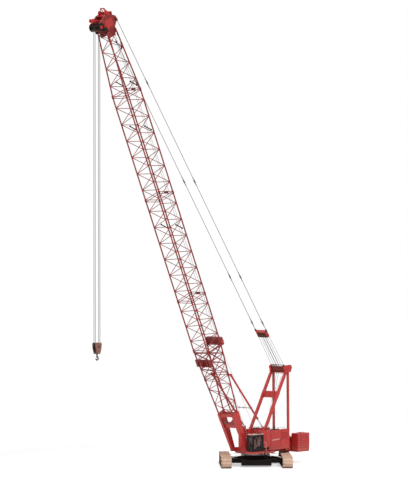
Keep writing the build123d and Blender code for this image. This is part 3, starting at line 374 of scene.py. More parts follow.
def stepped(start, axis, radius, depth, steps, sides=24):
    """A disc from start along axis; its far face is then inset and pushed out or in, step by step."""
    start, axis = Vector(start), Vector(axis).normalized()
    deselect()
    bpy.ops.mesh.primitive_cylinder_add(vertices=sides, radius=radius, depth=depth,
                                        location=start + axis * depth / 2,
                                        rotation=axis.to_track_quat("Z", "Y").to_euler())
    piece = bake_place(bpy.context.object)
    open_mesh(piece, lambda face: len(face.vertices) > 4 and face.normal.dot(axis) > 0.9)
    for inset, push in steps:
        if inset:
            bpy.ops.mesh.inset(thickness=inset, use_even_offset=True)
        if push:
            bpy.ops.mesh.extrude_region_move(TRANSFORM_OT_translate={"value": axis * push})
    shut_mesh()
    return piece


def panel(low, high, axis, inset, push, edge=0.002):
    """A box whose face on +axis or -axis is framed: inset, then pushed in or out."""
    piece = block(low, high, edge)
    axis = Vector(axis)
    largest = max((face.area for face in piece.data.polygons if face.normal.dot(axis) > 0.99), default=0)
    open_mesh(piece, lambda face: face.normal.dot(axis) > 0.99 and face.area > largest * 0.99)
    bpy.ops.mesh.inset(thickness=inset, use_even_offset=True)
    bpy.ops.mesh.extrude_region_move(TRANSFORM_OT_translate={"value": axis * push})
    shut_mesh()
    return piece


def cut(piece, point, normal):
    """Takes off what lies past a plane, and closes the cut."""
    open_mesh(piece)
    bpy.ops.mesh.bisect(plane_co=point, plane_no=normal, use_fill=True, clear_outer=True)
    shut_mesh()
    return piece


def settle(piece, matrix):
    piece.data.transform(matrix)
    if matrix.determinant() < 0:
        piece.data.flip_normals()
    return piece


def settled(pieces, matrix):
    """These pieces, all moved by matrix."""
    return [settle(piece, matrix) for piece in pieces]


def twin(piece, matrix):
    """A copy with its own mesh, moved by matrix."""
    other = piece.copy()
    other.data = piece.data.copy()
    bpy.context.scene.collection.objects.link(other)
    return settle(other, matrix)


def shift(x=0.0, y=0.0, z=0.0):
    return Matrix.Translation((x, y, z))


def gathered(pieces):
    """Joins pieces into the first of them."""
    deselect()
    for piece in pieces:
        piece.select_set(True)
    bpy.context.view_layer.objects.active = pieces[0]
    if len(pieces) > 1:
        bpy.ops.object.join()
    return bpy.context.view_layer.objects.active


def finished(pieces, name, body, finish, smooth=35):
    """Joins, names, paints and hangs a piece on its body."""
    piece = gathered(pieces if isinstance(pieces, list) else [pieces])
    piece.name = name
    piece.data.name = name
    piece.data.materials.clear()
    piece.data.materials.append(finishes[finish])
    hold(piece)
    bpy.ops.object.shade_smooth_by_angle(angle=radians(smooth))
    if body:
        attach(piece, body)
    return piece


def bolts(centers, axis, radius=0.012, height=0.01):
    """Hexagon heads at these points, all looking along axis."""
    first = rod(centers[0], Vector(centers[0]) + Vector(axis).normalized() * height,
                radius, 6, radius * 0.15)
    return [first] + [twin(first, Matrix.Translation(Vector(place) - Vector(centers[0])))
                      for place in centers[1:]]


def ring_of(center, axis, radius, count, turn=0.0):
    """Points round a circle."""
    turned = Vector(axis).to_track_quat("Z", "Y").to_matrix()
    return [Vector(center) + turned
            @ Vector((radius * cos(turn + 2 * pi * k / count), radius * sin(turn + 2 * pi * k / count), 0))
            for k in range(count)]


# ---- finishes of the CAD pieces ----------------------------------------------------
node_finishes = {
    "black_paint": ["carbody", "left_track_frame", "right_track_frame"],
    "sheave_red": ["gantry_sheaves"],
    "sheave_steel": ["equalizer_sheaves"],
    "dark_steel": ["boom_head_sheaves", "hook_block_sheaves"],
    "grey_steel": ["swing_ring", "main_hoist_drum", "auxiliary_hoist_drum", "boom_hoist_drum", "engine"],
    "rope_steel": ["pendants"],
    "bright_steel": ["left_stop_rod", "right_stop_rod"],
    "window_glass": ["cab_glass", "cab_door_glass"],
    "seat_fabric": ["operator_seat"],
    "dark_plastic": ["control_console", "cab_front_panel", "cab_inner_panel", "cab_outer_panel",
                     "cab_rear_panel", "cab_door"],
    "hook_steel": ["hook"],
    "hook_red": ["hook_block"],
    "pale_paint": ["cab_roof"],
    "dark_red_paint": ["gantry_rope_guard", "boom_rear_box", "boom_rope_guide"],
    "boom_red": ["boom_lower_butt", "boom_upper_butt", "boom_insert_1", "boom_insert_2", "boom_insert_3",
                 "boom_top_section", "boom_head"],
}
finish_of_node = {name: finish for finish, names in node_finishes.items() for name in names}
for name, cad_object in frame["nodes"].items():
    cad_object.data.materials.clear()
    cad_object.data.materials.append(finishes[finish_of_node.get(name, "red_paint")])
deselect()

# ---- crawlers ----------------------------------------------------------------------
track_gauge = 3.425
track_height = 0.640
shoe_width = 0.575
shoe_count = 52
belt_radius = 0.298
wheel_distance = 3.810
wheel_radius = 0.2527
half_run = wheel_distance / 2
belt_length = 2 * wheel_distance + 2 * pi * belt_radius
shoe_pitch = belt_length / shoe_count


def belt_place(distance):
    """A belt point's place along and above the wheel axes, and the belt's turn there."""
    if distance < wheel_distance:
        return -half_run + distance, -belt_radius, 0.0
    distance -= wheel_distance
    if distance < pi * belt_radius:
        turn = distance / belt_radius
        return half_run + belt_radius * sin(turn), -belt_radius * cos(turn), turn
    distance -= pi * belt_radius
    if distance < wheel_distance:
        return half_run - distance, belt_radius, pi
    turn = pi + (distance - wheel_distance) / belt_radius
    return -half_run + belt_radius * sin(turn), -belt_radius * cos(turn), turn


def track_shoe():
    """One shoe with its outer side up: a pad with a sunk field, two guide lugs and a pin tube."""
    half = shoe_pitch * 0.44
    pad = panel((-half, -shoe_width / 2, -0.014),
                (half, shoe_width / 2, 0.0215), (0, 0, 1), 0.024, -0.008, 0.004)
    lug = block((-0.045, 0.06, -0.044), (0.045, 0.095, -0.012), 0.008)
    tube = rod((half + 0.006, -shoe_width / 2 + 0.03, -0.012),
               (half + 0.006, shoe_width / 2 - 0.03, -0.012), 0.012, 6)
    return gathered([pad, lug, twin(lug, shift(0, -0.155, 0)), tube])


model_shoe = track_shoe()
belt_places = [belt_place((number + 0.5) * shoe_pitch) for number in range(shoe_count)]
for side, sign in sides.items():
    shoes = []
    for along, above, turn in belt_places:
        pose = Matrix((
            (cos(turn), 0, sin(turn), along),
            (0, -1, 0, sign * track_gauge / 2),
            (sin(turn), 0, -cos(turn), track_height / 2 + above),
            (0, 0, 0, 1),
        ))
        shoes.append(twin(model_shoe, crawler @ pose))
    belt = finished(shoes, f"{side}_crawler_belt", "undercarriage", "track_steel")
    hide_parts(f"{side}_track")
bpy.data.objects.remove(model_shoe)

roller_z = 0.1293
roller_pitch = (wheel_distance - 2 * wheel_radius - 0.060) / 9
frame_face = 0.120
wheel_face = 0.160
for side, sign in sides.items():
    middle = sign * track_gauge / 2
    hubs = []
    ribs = []
    for way in (-1, 1):
        face_y = middle + way * wheel_face
        for x in (-half_run, half_run):
            hubs.append(stepped((x, face_y, 0.32), (0, way, 0), 0.215, 0.012,
                                ((0.035, -0.010), (0.07, 0.0), (0.0, 0.022),
                                 (0.03, 0.016), (0.035, -0.008)), 28))
            hubs += bolts(ring_of((x, face_y + way * 0.03, 0.32), (0, way, 0), 0.088, 8),
                          (0, way, 0), 0.009)
            hubs += bolts(ring_of((x, face_y + way * 0.004, 0.32), (0, way, 0), 0.165, 12),
                          (0, way, 0), 0.010)
        for number in range(9):
            x = (number - 4) * roller_pitch
            hubs.append(stepped((x, face_y, roller_z), (0, way, 0), 0.050,
                                0.008, ((0.016, 0.008), (0.012, -0.004)), 14))
        side_y = middle + way * frame_face
        for x in (-1.30, -0.65, 0.0, 0.65, 1.30):
            ribs.append(block((x - 0.012, side_y, 0.22), (x + 0.012, side_y + way * 0.06, 0.475), 0.003))
        ribs.append(block((-1.55, side_y, 0.462), (1.55, side_y + way * 0.075, 0.479), 0.004))
        ribs.append(block((-1.52, side_y, 0.20), (1.52, side_y + way * 0.03, 0.225), 0.004))
    for x in (-1.0, 0.0, 1.0):
        ribs.append(block((x - 0.05, middle - 0.075, 0.478), (x + 0.05, middle + 0.075, 0.512), 0.006))
        ribs.append(rod((x, middle - 0.055, 0.526), (x, middle + 0.055, 0.526), 0.042, 14))
    # drive housing on the inner side of the rear wheel
    inner = -sign
    hubs.append(stepped((-half_run, middle + inner * wheel_face, 0.32), (0, inner, 0), 0.15, 0.10,
                        ((0.03, 0.02), (0.03, 0.05), (0.02, 0.0)), 24))
    finished(settled(hubs, crawler), f"{side}_wheel_hubs", "undercarriage", "wheel_steel")
    finished(settled(ribs, crawler), f"{side}_track_frame_ribs", "undercarriage", "black_paint")

# ---- carbody -----------------------------------------------------------------------
plates = []
pipes = []
for x_sign in (-1, 1):
    for y_sign in (-1, 1):
        plates.append(block((x_sign * 0.76 - 0.17, y_sign * 1.50 - 0.06, 0.21),
                            (x_sign * 0.76 + 0.17, y_sign * 1.50 + 0.06, 0.45), 0.010))
        plates.append(rod((x_sign * 0.76 - 0.19, y_sign * 1.50, 0.44),
                          (x_sign * 0.76 + 0.19, y_sign * 1.50, 0.44), 0.035, 14))
        plates.append(block((x_sign * 0.62 - 0.012, y_sign * 0.75 - 0.01, 0.34),
                            (x_sign * 0.62 + 0.012, y_sign * 0.75 + 0.05, 0.60), 0.003))
plates.append(block((-0.60, -0.80, 0.595), (0.60, 0.80, 0.622), 0.006))
plates += bolts(ring_of((0, 0, 0.62), (0, 0, 1), 0.84, 40), (0, 0, 1), 0.012, 0.012)
for y_sign in (-1, 1):
    plates.append(panel((-0.45, y_sign * 0.748, 0.34), (0.45, y_sign * 0.758, 0.58),
                        (0, y_sign, 0), 0.03, -0.006))
finished(settled(plates, crawler), "carbody_fittings", "undercarriage", "black_paint")


def tube(points, radius, sides=3):
    """A formed pipe along a smooth path."""
    deselect()
    bpy.ops.curve.primitive_nurbs_path_add()
    path = bpy.context.object
    spline = path.data.splines[0]
    for point, place in zip(spline.points, points):
        point.co = (*place, 1)
    spline.use_endpoint_u = True
    path.data.bevel_depth = radius
    path.data.bevel_resolution = sides
    path.data.use_fill_caps = True
    hold(path)
    bpy.ops.object.convert(target="MESH")
    return bake_place(bpy.context.object)


for y_sign in (-1, 1):
    for lane in range(2):
        back = 0.09 * lane
        pipes.append(tube(((0.72 - back, y_sign * 0.62, 0.60), (0.86 - back, y_sign * 0.74, 0.66 + back),
                           (0.98 - back, y_sign * 0.98, 0.64 + back), (0.92 - back, y_sign * 1.30, 0.53),
                           (0.88 - back, y_sign * 1.52, 0.50)), 0.016))
        pipes.append(tube(((-0.70 + back, y_sign * 0.60, 0.60), (-0.86 + back, y_sign * 0.76, 0.655),
                           (-1.00 + back, y_sign * 1.02, 0.62), (-1.20 + back, y_sign * 1.28, 0.52),
                           (-1.42 + back, y_sign * 1.50, 0.50)), 0.016))
finished(settled(pipes, crawler), "travel_pipes", "undercarriage", "pale_hose", 60)

ballast_x = 1.1603
for name, sign in {"front": 1, "rear": -1}.items():
    slabs = []
    for low in (0.100, 0.2665):
        slabs.append(block((sign * ballast_x - 0.259, -0.839, low),
                           (sign * ballast_x + 0.259, 0.839, low + 0.1635), 0.012, 2))
    for y in (-0.62, 0.62):
        slabs.append(block((sign * ballast_x - 0.05, y - 0.012, 0.425),
                           (sign * ballast_x + 0.05, y + 0.012, 0.475), 0.010))
        slabs.append(rod((sign * 1.415, y, 0.15), (sign * 1.415, y, 0.38), 0.016, 8))
    stack = finished(settled(slabs, crawler), f"{name}_carbody_slabs", "undercarriage", "black_paint")
    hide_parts(f"{name}_carbody_weight")

# ---- rotating bed --------------------------------------------------------------------
bed_low, bed_top = 0.750, 1.060
trim = []
for sign in (-1, 1):
    for low, high in ((bed_low + 0.002, bed_low + 0.026), (bed_top - 0.024, bed_top + 0.004)):
        trim.append(block((-2.30, sign * 0.585, low), (1.05, sign * 0.635, high), 0.004))
    for x in (-2.15, -1.45, -1.10, -0.35, 0.02, 0.62, 0.98):
        trim.append(block((x - 0.008, sign * 0.588, bed_low + 0.02),
                          (x + 0.008, sign * 0.628, bed_top - 0.02), 0.002))
    # pins of the boom's foot, with keeper plates
    for out in (-1, 1):
        y = sign * 0.525 + out * 0.117
        trim.append(stepped((1.3, y, 0.95), (0, out, 0), 0.062, 0.012,
                            ((0.018, 0.010), (0.02, -0.006)), 20))
        trim.append(block((1.22, y, 0.875), (1.38, y + out * 0.014, 0.895), 0.003))
rim = stepped((0, 0, bed_low - 0.006), (0, 0, 1), 1.128, 0.020, ((0.006, 0.004),), 64)
trim.append(rim)
trim.append(stepped((0, 0, bed_low + 0.098), (0, 0, 1), 1.127, 0.014, ((0.02, 0.003),), 64))
for x in (-3.24, -2.42):
    for sign in (-1, 1):
        trim.append(block((x, sign * 0.45, 1.055), (x + 0.10, sign * 0.49, 1.16), 0.010))
finished(trim, "bed_trim", "upperworks", "red_paint")

walkway = [block((0.70, 0.655, 0.873), (1.545, 0.757, 0.886), 0.003),
           block((0.46, 0.89, 0.80), (0.70, 1.26, 0.818), 0.003)]
for x in (0.50, 0.66):
    walkway.append(block((x - 0.01, 0.90, 0.70), (x + 0.01, 1.24, 0.80), 0.003))
walkway.append(block((0.48, 1.16, 0.69), (0.70, 1.26, 0.706), 0.003))
finished(walkway, "cab_walkway", "upperworks", "tread_plate")
rails = [rod((0.48, 1.25, 0.69), (0.48, 1.25, 1.40), 0.009),
         rod((0.70, 1.25, 0.69), (0.70, 1.25, 0.82), 0.009),
         rod((0.48, 1.25, 1.40), (0.48, 0.90, 1.40), 0.009),
         rod((0.48, 0.90, 0.80), (0.48, 0.90, 1.40), 0.009),
         rod((0.48, 1.25, 1.10), (0.48, 0.90, 1.10), 0.007)]
finished(rails, "cab_step_rails", "upperworks", "pale_paint")

# winch ropes and drum cheeks
main_x, auxiliary_x, luffing_x = 0.52, -0.12, -0.76
drum_table = {
    "main_hoist_drum": (main_x, 0.21),
    "auxiliary_hoist_drum": (auxiliary_x, 0.21),
    "boom_hoist_drum": (luffing_x, 0.18),
}
drum_z = 1.42
for name, (x, radius) in drum_table.items():
    bpy.ops.mesh.primitive_torus_add(major_radius=radius * 0.72 + 0.009, minor_radius=0.0098,
                                     major_segments=32, minor_segments=6,
                                     location=(x, -0.255, drum_z), rotation=(pi / 2, 0, 0))
    first = bake_place(bpy.context.object)
    open_mesh(first,
              lambda face: (face.center - Vector((x, face.center.y, drum_z))).length
              > radius * 0.72 + 0.012)
    bpy.ops.mesh.bevel(offset=0.001, segments=1, affect="EDGES")
    shut_mesh()
    turns = [first] + [twin(first, shift(0, 0.0197 * number, 0)) for number in range(1, 27)]
    finished(turns, f"{name}_rope", name, "rope_steel")
    cheeks = []
    for sign in (-1, 1):
        cheeks.append(stepped((x, sign * 0.281, drum_z), (0, sign, 0),
                              radius * 0.55, 0.004, ((0.02, -0.002),), 28))
    finished(cheeks, f"{name}_cheeks", name, "dark_red_paint")

# engine bay: radiator with its fins, air cleaner, muffler, exhaust stack and filler caps
bay = [panel((-1.90, -0.34, 1.10), (-1.84, 0.34, 1.66), (-1, 0, 0), 0.03, -0.02),
       block((-1.40, -0.30, 1.665), (-1.10, -0.18, 1.80), 0.02, 2),
       rod((-1.75, 0.22, 1.76), (-1.22, 0.22, 1.76), 0.075, 20, 0.015),
       rod((-1.35, 0.22, 1.80), (-1.35, 0.22, 2.16), 0.032, 14)]
for number in range(9):
    bay.append(block((-1.906, -0.31, 1.14 + 0.056 * number), (-1.894, 0.31, 1.152 + 0.056 * number), 0.002))
for number in range(4):
    bay.append(stepped((-1.62 + 0.16 * number, 0.0, 1.68), (0, 0, 1), 0.055,
                       0.012, ((0.012, 0.012), (0.012, -0.006)), 18))
finished(bay, "engine_fittings", "upperworks", "sheave_steel")

# ---- machinery enclosures --------------------------------------------------------------
for side, sign in sides.items():
    out = Vector((0, sign, 0))
    face_y = sign * 0.88
    panels = []
    for x0, x1 in ((-1.86, -1.22), (-0.28, 0.06), (0.10, 0.44)):
        low = Vector((x0, min(face_y, face_y + sign * 0.008), 0.95))
        high = Vector((x1, max(face_y, face_y + sign * 0.008), 1.95))
        panels.append(panel(low, high, out, 0.012, -0.004, 0.002))
    for number in range(9):
        z = 1.50 + 0.045 * number
        louvre = block((-1.80, -0.011, -0.016), (-1.28, 0.011, 0.016), 0.003)
        settle(louvre,
               Matrix.Translation((0, face_y + sign * 0.012, z))
               @ Matrix.Rotation(sign * radians(35), 4, "X"))
        panels.append(louvre)
    for number in range(5):
        louvre = block((0.14, -0.009, -0.012), (0.40, 0.009, 0.012), 0.003)
        settle(louvre, Matrix.Translation((0, face_y + sign * 0.011, 1.66 + 0.04 * number))
               @ Matrix.Rotation(sign * radians(35), 4, "X"))
        panels.append(louvre)
    inner_y = sign * 0.62
    panels.append(block((-1.93, min(inner_y, face_y) - 0.006, 1.992),
                        (0.48, max(inner_y, face_y) + 0.006, 2.006), 0.004))
    panels.append(block((-1.93, face_y, 0.90), (0.48, face_y + sign * 0.010, 0.925), 0.003))
    for x in (-1.5, -0.5, 0.30):
        panels.append(block((x - 0.03, sign * 0.75 - 0.02, 2.004),
                            (x + 0.03, sign * 0.75 + 0.02, 2.03), 0.006))
    panels += bolts([(x, face_y + sign * 0.006, z) for x in (-1.83, -1.25, -0.25, 0.03, 0.13, 0.41)
                     for z in (0.98, 1.92)], out, 0.006, 0.005)
    finished(panels, f"{side}_enclosure_panels", "upperworks", "red_paint")
    dark = [panel((-0.20, face_y, 0.935), (0.42, face_y + sign * 0.012, 1.075), out, 0.014, -0.008),
            panel((-1.10, sign * 0.75 - 0.09, 2.004), (-0.45, sign * 0.75 + 0.09, 2.045), (0, 0, 1),
                  0.02, -0.006)]
    finished(dark, f"{side}_enclosure_hatches", "upperworks", "dark_plastic")
    door = [panel((-1.155, face_y, 1.065), (-0.365, face_y + sign * 0.005, 1.835), out, 0.05, -0.003)]
    finished(door, f"{side}_door_frame", f"{side}_enclosure_door", "red_paint")
    latch = [rod((-1.10, face_y + sign * 0.022, 1.38), (-1.10, face_y + sign * 0.022, 1.50), 0.006),
             block((-1.115, face_y, 1.365), (-1.085, face_y + sign * 0.026, 1.385), 0.003),
             block((-1.115, face_y, 1.495), (-1.085, face_y + sign * 0.026, 1.515), 0.003)]
    finished(latch, f"{side}_door_latch", f"{side}_enclosure_door", "dark_plastic")
    stripe = block((-0.31, -0.001, -0.022), (0.31, 0.001, 0.022), 0.0008)
    settle(stripe,
           Matrix.Translation((-0.76, face_y + sign * 0.0065, 1.46)) @ Matrix.Rotation(radians(4), 4, "Y"))
    finished(stripe, f"{side}_door_stripe", f"{side}_enclosure_door", "pale_paint")
    rail = []
    for x in (-1.75, -1.20, -0.65, -0.10):
        rail.append(rod((x, sign * 0.66, 2.0), (x, sign * 0.66, 2.10), 0.008))
    rail.append(rod((-1.75, sign * 0.66, 2.10), (-0.10, sign * 0.66, 2.10), 0.008))
    finished(rail, f"{side}_roof_rail", "upperworks", "dark_red_paint")

# ---- counterweight ---------------------------------------------------------------------
slab_height, stack_low = 0.138, 0.7603
for side, sign in sides.items():
    slabs = []
    for number in range(7):
        low = stack_low + number * slab_height
        slab = block((-3.329, sign * 0.641, low), (-2.331, sign * 1.149, low + 0.1375), 0.020)
        slabs.append(slab)
    top = stack_low + 7 * slab_height
    for x in (-3.10, -2.56):
        slabs.append(block((x - 0.04, sign * 0.895 - 0.012, top - 0.006),
                           (x + 0.04, sign * 0.895 + 0.012, top + 0.045), 0.010))
    for x in (-3.05, -2.61):
        slabs.append(rod((x, sign * 1.150, 0.80), (x, sign * 1.150, top - 0.03), 0.012, 10))
        for number in range(7):
            z = stack_low + number * slab_height + 0.068
            slabs.append(block((x - 0.028, sign * 1.146, z - 0.02),
                               (x + 0.028, sign * 1.156, z + 0.02), 0.003))
    if sign == 1:
        slabs.append(block((-2.78, 0.93, top), (-2.62, 1.07, top + 0.055), 0.010))
    stack = finished(slabs, f"{side}_weight_stack", "upperworks", "red_paint")
    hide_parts(f"{side}_counterweight_slabs")
    # dark strips set back in the gaps between the slabs: painted shade in the grooves between the slabs
    seam_shade_strips = [block((-3.325, sign * 0.645, stack_low + number * slab_height - 0.015),
                   (-2.335, sign * 1.145, stack_low + number * slab_height + 0.015), 0.004)
             for number in range(1, 7)]
    finished(seam_shade_strips, f"{side}_weight_seam_shade", "upperworks", "dark_red_paint")

# ---- gantry --------------------------------------------------------------------------
gantry_leg_y = 0.545
front_foot, front_head = Vector((0.35, 0, 1.06)), Vector((-1.945, 0, 5.20))
rear_foot, rear_head = Vector((-2.18, 0, 1.06)), Vector((-2.135, 0, 5.20))


def on_leg(low, high, z, y):
    """The point of a leg's axis at height z."""
    point = low + (high - low) * ((z - low.z) / (high.z - low.z))
    return Vector((point.x, y, z))


legs = []
for sign in (-1, 1):
    y = sign * gantry_leg_y
    # feet, knees at the cross beam and shoulders under the head
    for low, high, across in ((front_foot, front_head, 0.10), (rear_foot, rear_head, 0.09)):
        base = on_leg(low, high, 1.13, y)
        legs.append(block((base.x - across - 0.03, y - 0.066, 1.061),
                          (base.x + across + 0.03, y - 0.050, 1.26), 0.008))
        legs.append(block((base.x - across - 0.03, y + 0.050, 1.061),
                          (base.x + across + 0.03, y + 0.066, 1.26), 0.008))
        legs.append(rod((base.x, y - 0.085, 1.17), (base.x, y + 0.085, 1.17), 0.034, 16, 0.004))
        crown = on_leg(low, high, 5.12, y)
        legs.append(rod((crown.x, y - 0.075, 5.12), (crown.x, y + 0.075, 5.12), 0.040, 16, 0.004))
    knee = on_leg(front_foot, front_head, 3.96, y)
    leg_way = (front_head - front_foot).normalized()
    plate = block((-0.21, -0.056, -0.105), (0.21, 0.056, 0.105), 0.012)
    settle(plate, plane_matrix(knee, leg_way))
    legs.append(plate)
    for z in (1.9, 2.9, 4.6):
        band = block((-0.012, -0.050, -0.080), (0.012, 0.050, 0.080), 0.003)
        settle(band, plane_matrix(on_leg(front_foot, front_head, z, y), leg_way))
        legs.append(band)
        rear_band = block((-0.012, -0.050, -0.070), (0.012, 0.050, 0.070), 0.003)
        settle(rear_band, plane_matrix(on_leg(rear_foot, rear_head, z, y), rear_head - rear_foot))
        legs.append(rear_band)
    low, high = on_leg(front_foot, front_head, 1.30, y), on_leg(front_foot, front_head, 5.02, y)
    cover = block((0, -0.049, -0.093), ((high - low).length, 0.049, 0.093), 0.008)
    open_mesh(cover, lambda face: abs(face.normal.y) > 0.99 and face.area > 0.2)
    bpy.ops.mesh.inset(thickness=0.022, use_even_offset=True)
    bpy.ops.mesh.inset(thickness=0.004, depth=-0.003, use_even_offset=True)
    shut_mesh()
    legs.append(settle(cover, plane_matrix(low, high - low)))
cross = []
cross_x = on_leg(front_foot, front_head, 3.96, 0).x
for z in (3.81, 4.11):
    cross.append(rod((cross_x - 0.02, -0.50, z), (cross_x - 0.02, 0.50, z), 0.040, 16, 0.003))
for y in (-0.34, 0.0, 0.34):
    cross.append(block((cross_x - 0.058, y - 0.012, 3.80), (cross_x + 0.058, y + 0.012, 4.12), 0.004))
finished(legs, "gantry_leg_fittings", "upperworks", "red_paint")
finished(cross, "gantry_cross_fittings", "upperworks", "red_paint")

rungs = []
for number in range(13):
    z = 1.35 + 0.28 * number
    rungs.append(rod((on_leg(rear_foot, rear_head, z, 0).x - 0.095, gantry_leg_y - 0.045, z),
                     (on_leg(rear_foot, rear_head, z, 0).x - 0.095, gantry_leg_y + 0.045, z), 0.007, 8))
    for y in (gantry_leg_y - 0.043, gantry_leg_y + 0.043):
        rungs.append(rod((on_leg(rear_foot, rear_head, z, 0).x - 0.10, y, z),
                         (on_leg(rear_foot, rear_head, z, 0).x - 0.06, y, z), 0.005, 6))
finished(rungs, "gantry_ladder", "upperworks", "dark_red_paint")

crown = []
for sign in (-1, 1):
    y = sign * gantry_leg_y
    for out in (-1, 1):
        face_y = y + out * 0.055
        crown.append(stepped((gantry_top.x, face_y, gantry_top.z), (0, out, 0), 0.095, 0.012,
                             ((0.022, 0.016), (0.03, -0.008)), 24))
        crown += bolts(ring_of((gantry_top.x, face_y + out * 0.012, gantry_top.z), (0, out, 0), 0.083, 8),
                       (0, out, 0), 0.008)
    crown.append(panel((gantry_top.x - 0.31, y - 0.058, gantry_top.z + 0.148),
                       (gantry_top.x + 0.19, y + 0.058, gantry_top.z + 0.160), (0, 0, 1), 0.02, -0.003))
for sign in (-1, 1):
    y = sign * gantry_leg_y
    for x, z, radius in ((-0.215, 0.10, 0.165), (0.10, 0.12, 0.135)):
        shoulder = stepped((gantry_top.x + x, y - 0.062, gantry_top.z + z), (0, 1, 0), radius, 0.124,
                           ((0.02, 0.004), (0.03, -0.006)), 28)
        crown.append(shoulder)
for angle in (-140, -95, -50):
    guard_x = gantry_top.x + 0.225 * cos(radians(angle))
    guard_z = gantry_top.z + 0.225 * sin(radians(angle))
    crown.append(rod((guard_x, -0.50, guard_z), (guard_x, 0.50, guard_z), 0.012, 10))
crown.append(block((gantry_top.x - 0.29, -0.50, gantry_top.z - 0.135),
                   (gantry_top.x - 0.235, 0.50, gantry_top.z + 0.135), 0.010))
finished(crown, "gantry_crown", "upperworks", "red_paint")

winch_lines = []
for y in (-0.10, 0.04):
    winch_lines.append(line((luffing_x - 0.135, y, 1.47),
                            (gantry_top.x + 0.156, y + 0.05, gantry_top.z - 0.03), 0.008))
winch_lines.append(line((auxiliary_x - 0.158, 0.12, 1.46),
                        (gantry_top.x + 0.10, 0.30, gantry_top.z - 0.22), 0.007))
finished(winch_lines, "boom_hoist_lines", "upperworks", "rope_steel", 60)

# reeving between the gantry head and the equalizer
reeving = []
reeving_lanes, reeving_pitch, reeving_radius = 4, 0.20, 0.0085
gantry_reach, equalizer_reach, lane_share = 0.158, 0.126, 0.84
square = (pendant_top - gantry_top).normalized().cross(Vector((0, 1, 0)))
for number in range(reeving_lanes):
    y = -0.30 + reeving_pitch * number
    for way in (-1, 1):
        rope_top = gantry_top + square * way * gantry_reach + Vector((0, y, 0))
        rope_foot = equalizer_axis + square * way * equalizer_reach + Vector((0, y * lane_share, 0))
        reeving.append(line(rope_top, rope_foot, reeving_radius))
reeving = finished(reeving, "boom_hoist_reeving", None, "rope_steel", 60)
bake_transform(reeving)

# equalizer, in bridle coordinates
distance = 2.45
yoke = []
for sign in (-1, 1):
    side_y = sign * 0.335
    for out in (-1, 1):
        face = side_y + out * 0.0152
        yoke.append(stepped((distance, face, 0), (0, out, 0), 0.062,
                            0.012, ((0.018, 0.010), (0.02, -0.005)), 20))
        yoke.append(panel((distance - 0.13, face, -0.085),
                          (distance - 0.075, face + out * 0.006, 0.085), (0, out, 0), 0.008, -0.002))
    yoke.append(stepped((distance + 0.24, sign * 0.4145, 0), (0, sign, 0),
                        0.034, 0.014, ((0.01, 0.006),), 16))
    yoke.append(rod((distance + 0.24, sign * 0.3855, 0), (distance + 0.24, sign * 0.4150, 0), 0.0246, 16))
for across in (-0.10, 0.10):
    yoke.append(rod((distance - 0.10, -0.34, across * 0.9),
                    (distance - 0.10, 0.34, across * 0.9), 0.013, 10))
    yoke.append(rod((distance + 0.15, -0.34, across), (distance + 0.15, 0.34, across), 0.013, 10))
yoke.append(block((distance + 0.20, -0.38, 0.074), (distance + 0.28, 0.38, 0.086), 0.004))
finished(settled(yoke, bridle), "equalizer_fittings", "equalizer", "dark_red_paint")

guard = []
for sign in (-1, 1):
    y = sign * 0.43
    guard.append(stepped((0, y + sign * 0.0122, 0), (0, sign, 0), 0.060, 0.006, ((0.012, 0.004),), 20))
for across in (-0.055, 0.055):
    guard.append(rod((0.28, -0.40, across), (0.28, 0.40, across), 0.021, 14, 0.002))
finished(settled(guard, bridle), "gantry_guard_rollers", "gantry_rope_guard", "grey_steel")

# pendants: sockets and link plates between the rope lengths
pendant_start = 2.69
pendant_end = (pendant_top - gantry_top).length
links = []
for share in (0.03, 0.183, 0.493, 0.803):
    middle = pendant_start + (pendant_end - pendant_start) * share
    for sign in (-1, 1):
        y = sign * 0.400
        for out in (-1, 1):
            links.append(block((middle - 0.11, y + out * 0.020 - 0.005, -0.030),
                               (middle + 0.11, y + out * 0.020 + 0.005, 0.030), 0.004))
        for end in (-1, 1):
            links.append(rod((middle + end * 0.085, y - 0.034, 0),
                             (middle + end * 0.085, y + 0.034, 0), 0.017, 12, 0.002))
            links.append(rod((middle + end * 0.060, y, 0), (middle + end * 0.30, y, 0), 0.0215, 12, 0.004))
finished(settled(links, bridle), "pendant_links", "pendants", "sheave_steel")

# ---- operator's cab --------------------------------------------------------------------
cab_y = 1.005
roof = [panel((0.665, 0.748, 1.868), (1.575, 1.262, 1.889), (0, 0, 1), 0.03, -0.006, 0.006),
        block((1.50, 0.77, 1.845), (1.580, 1.24, 1.870), 0.008)]
finished(roof, "cab_roof_cap", "upperworks", "pale_paint")
vent = [panel((0.74, 0.84, 1.882), (1.00, 1.17, 1.925), (0, 0, 1), 0.02, -0.004, 0.008)]
finished(vent, "cab_roof_vent", "upperworks", "dark_red_paint")

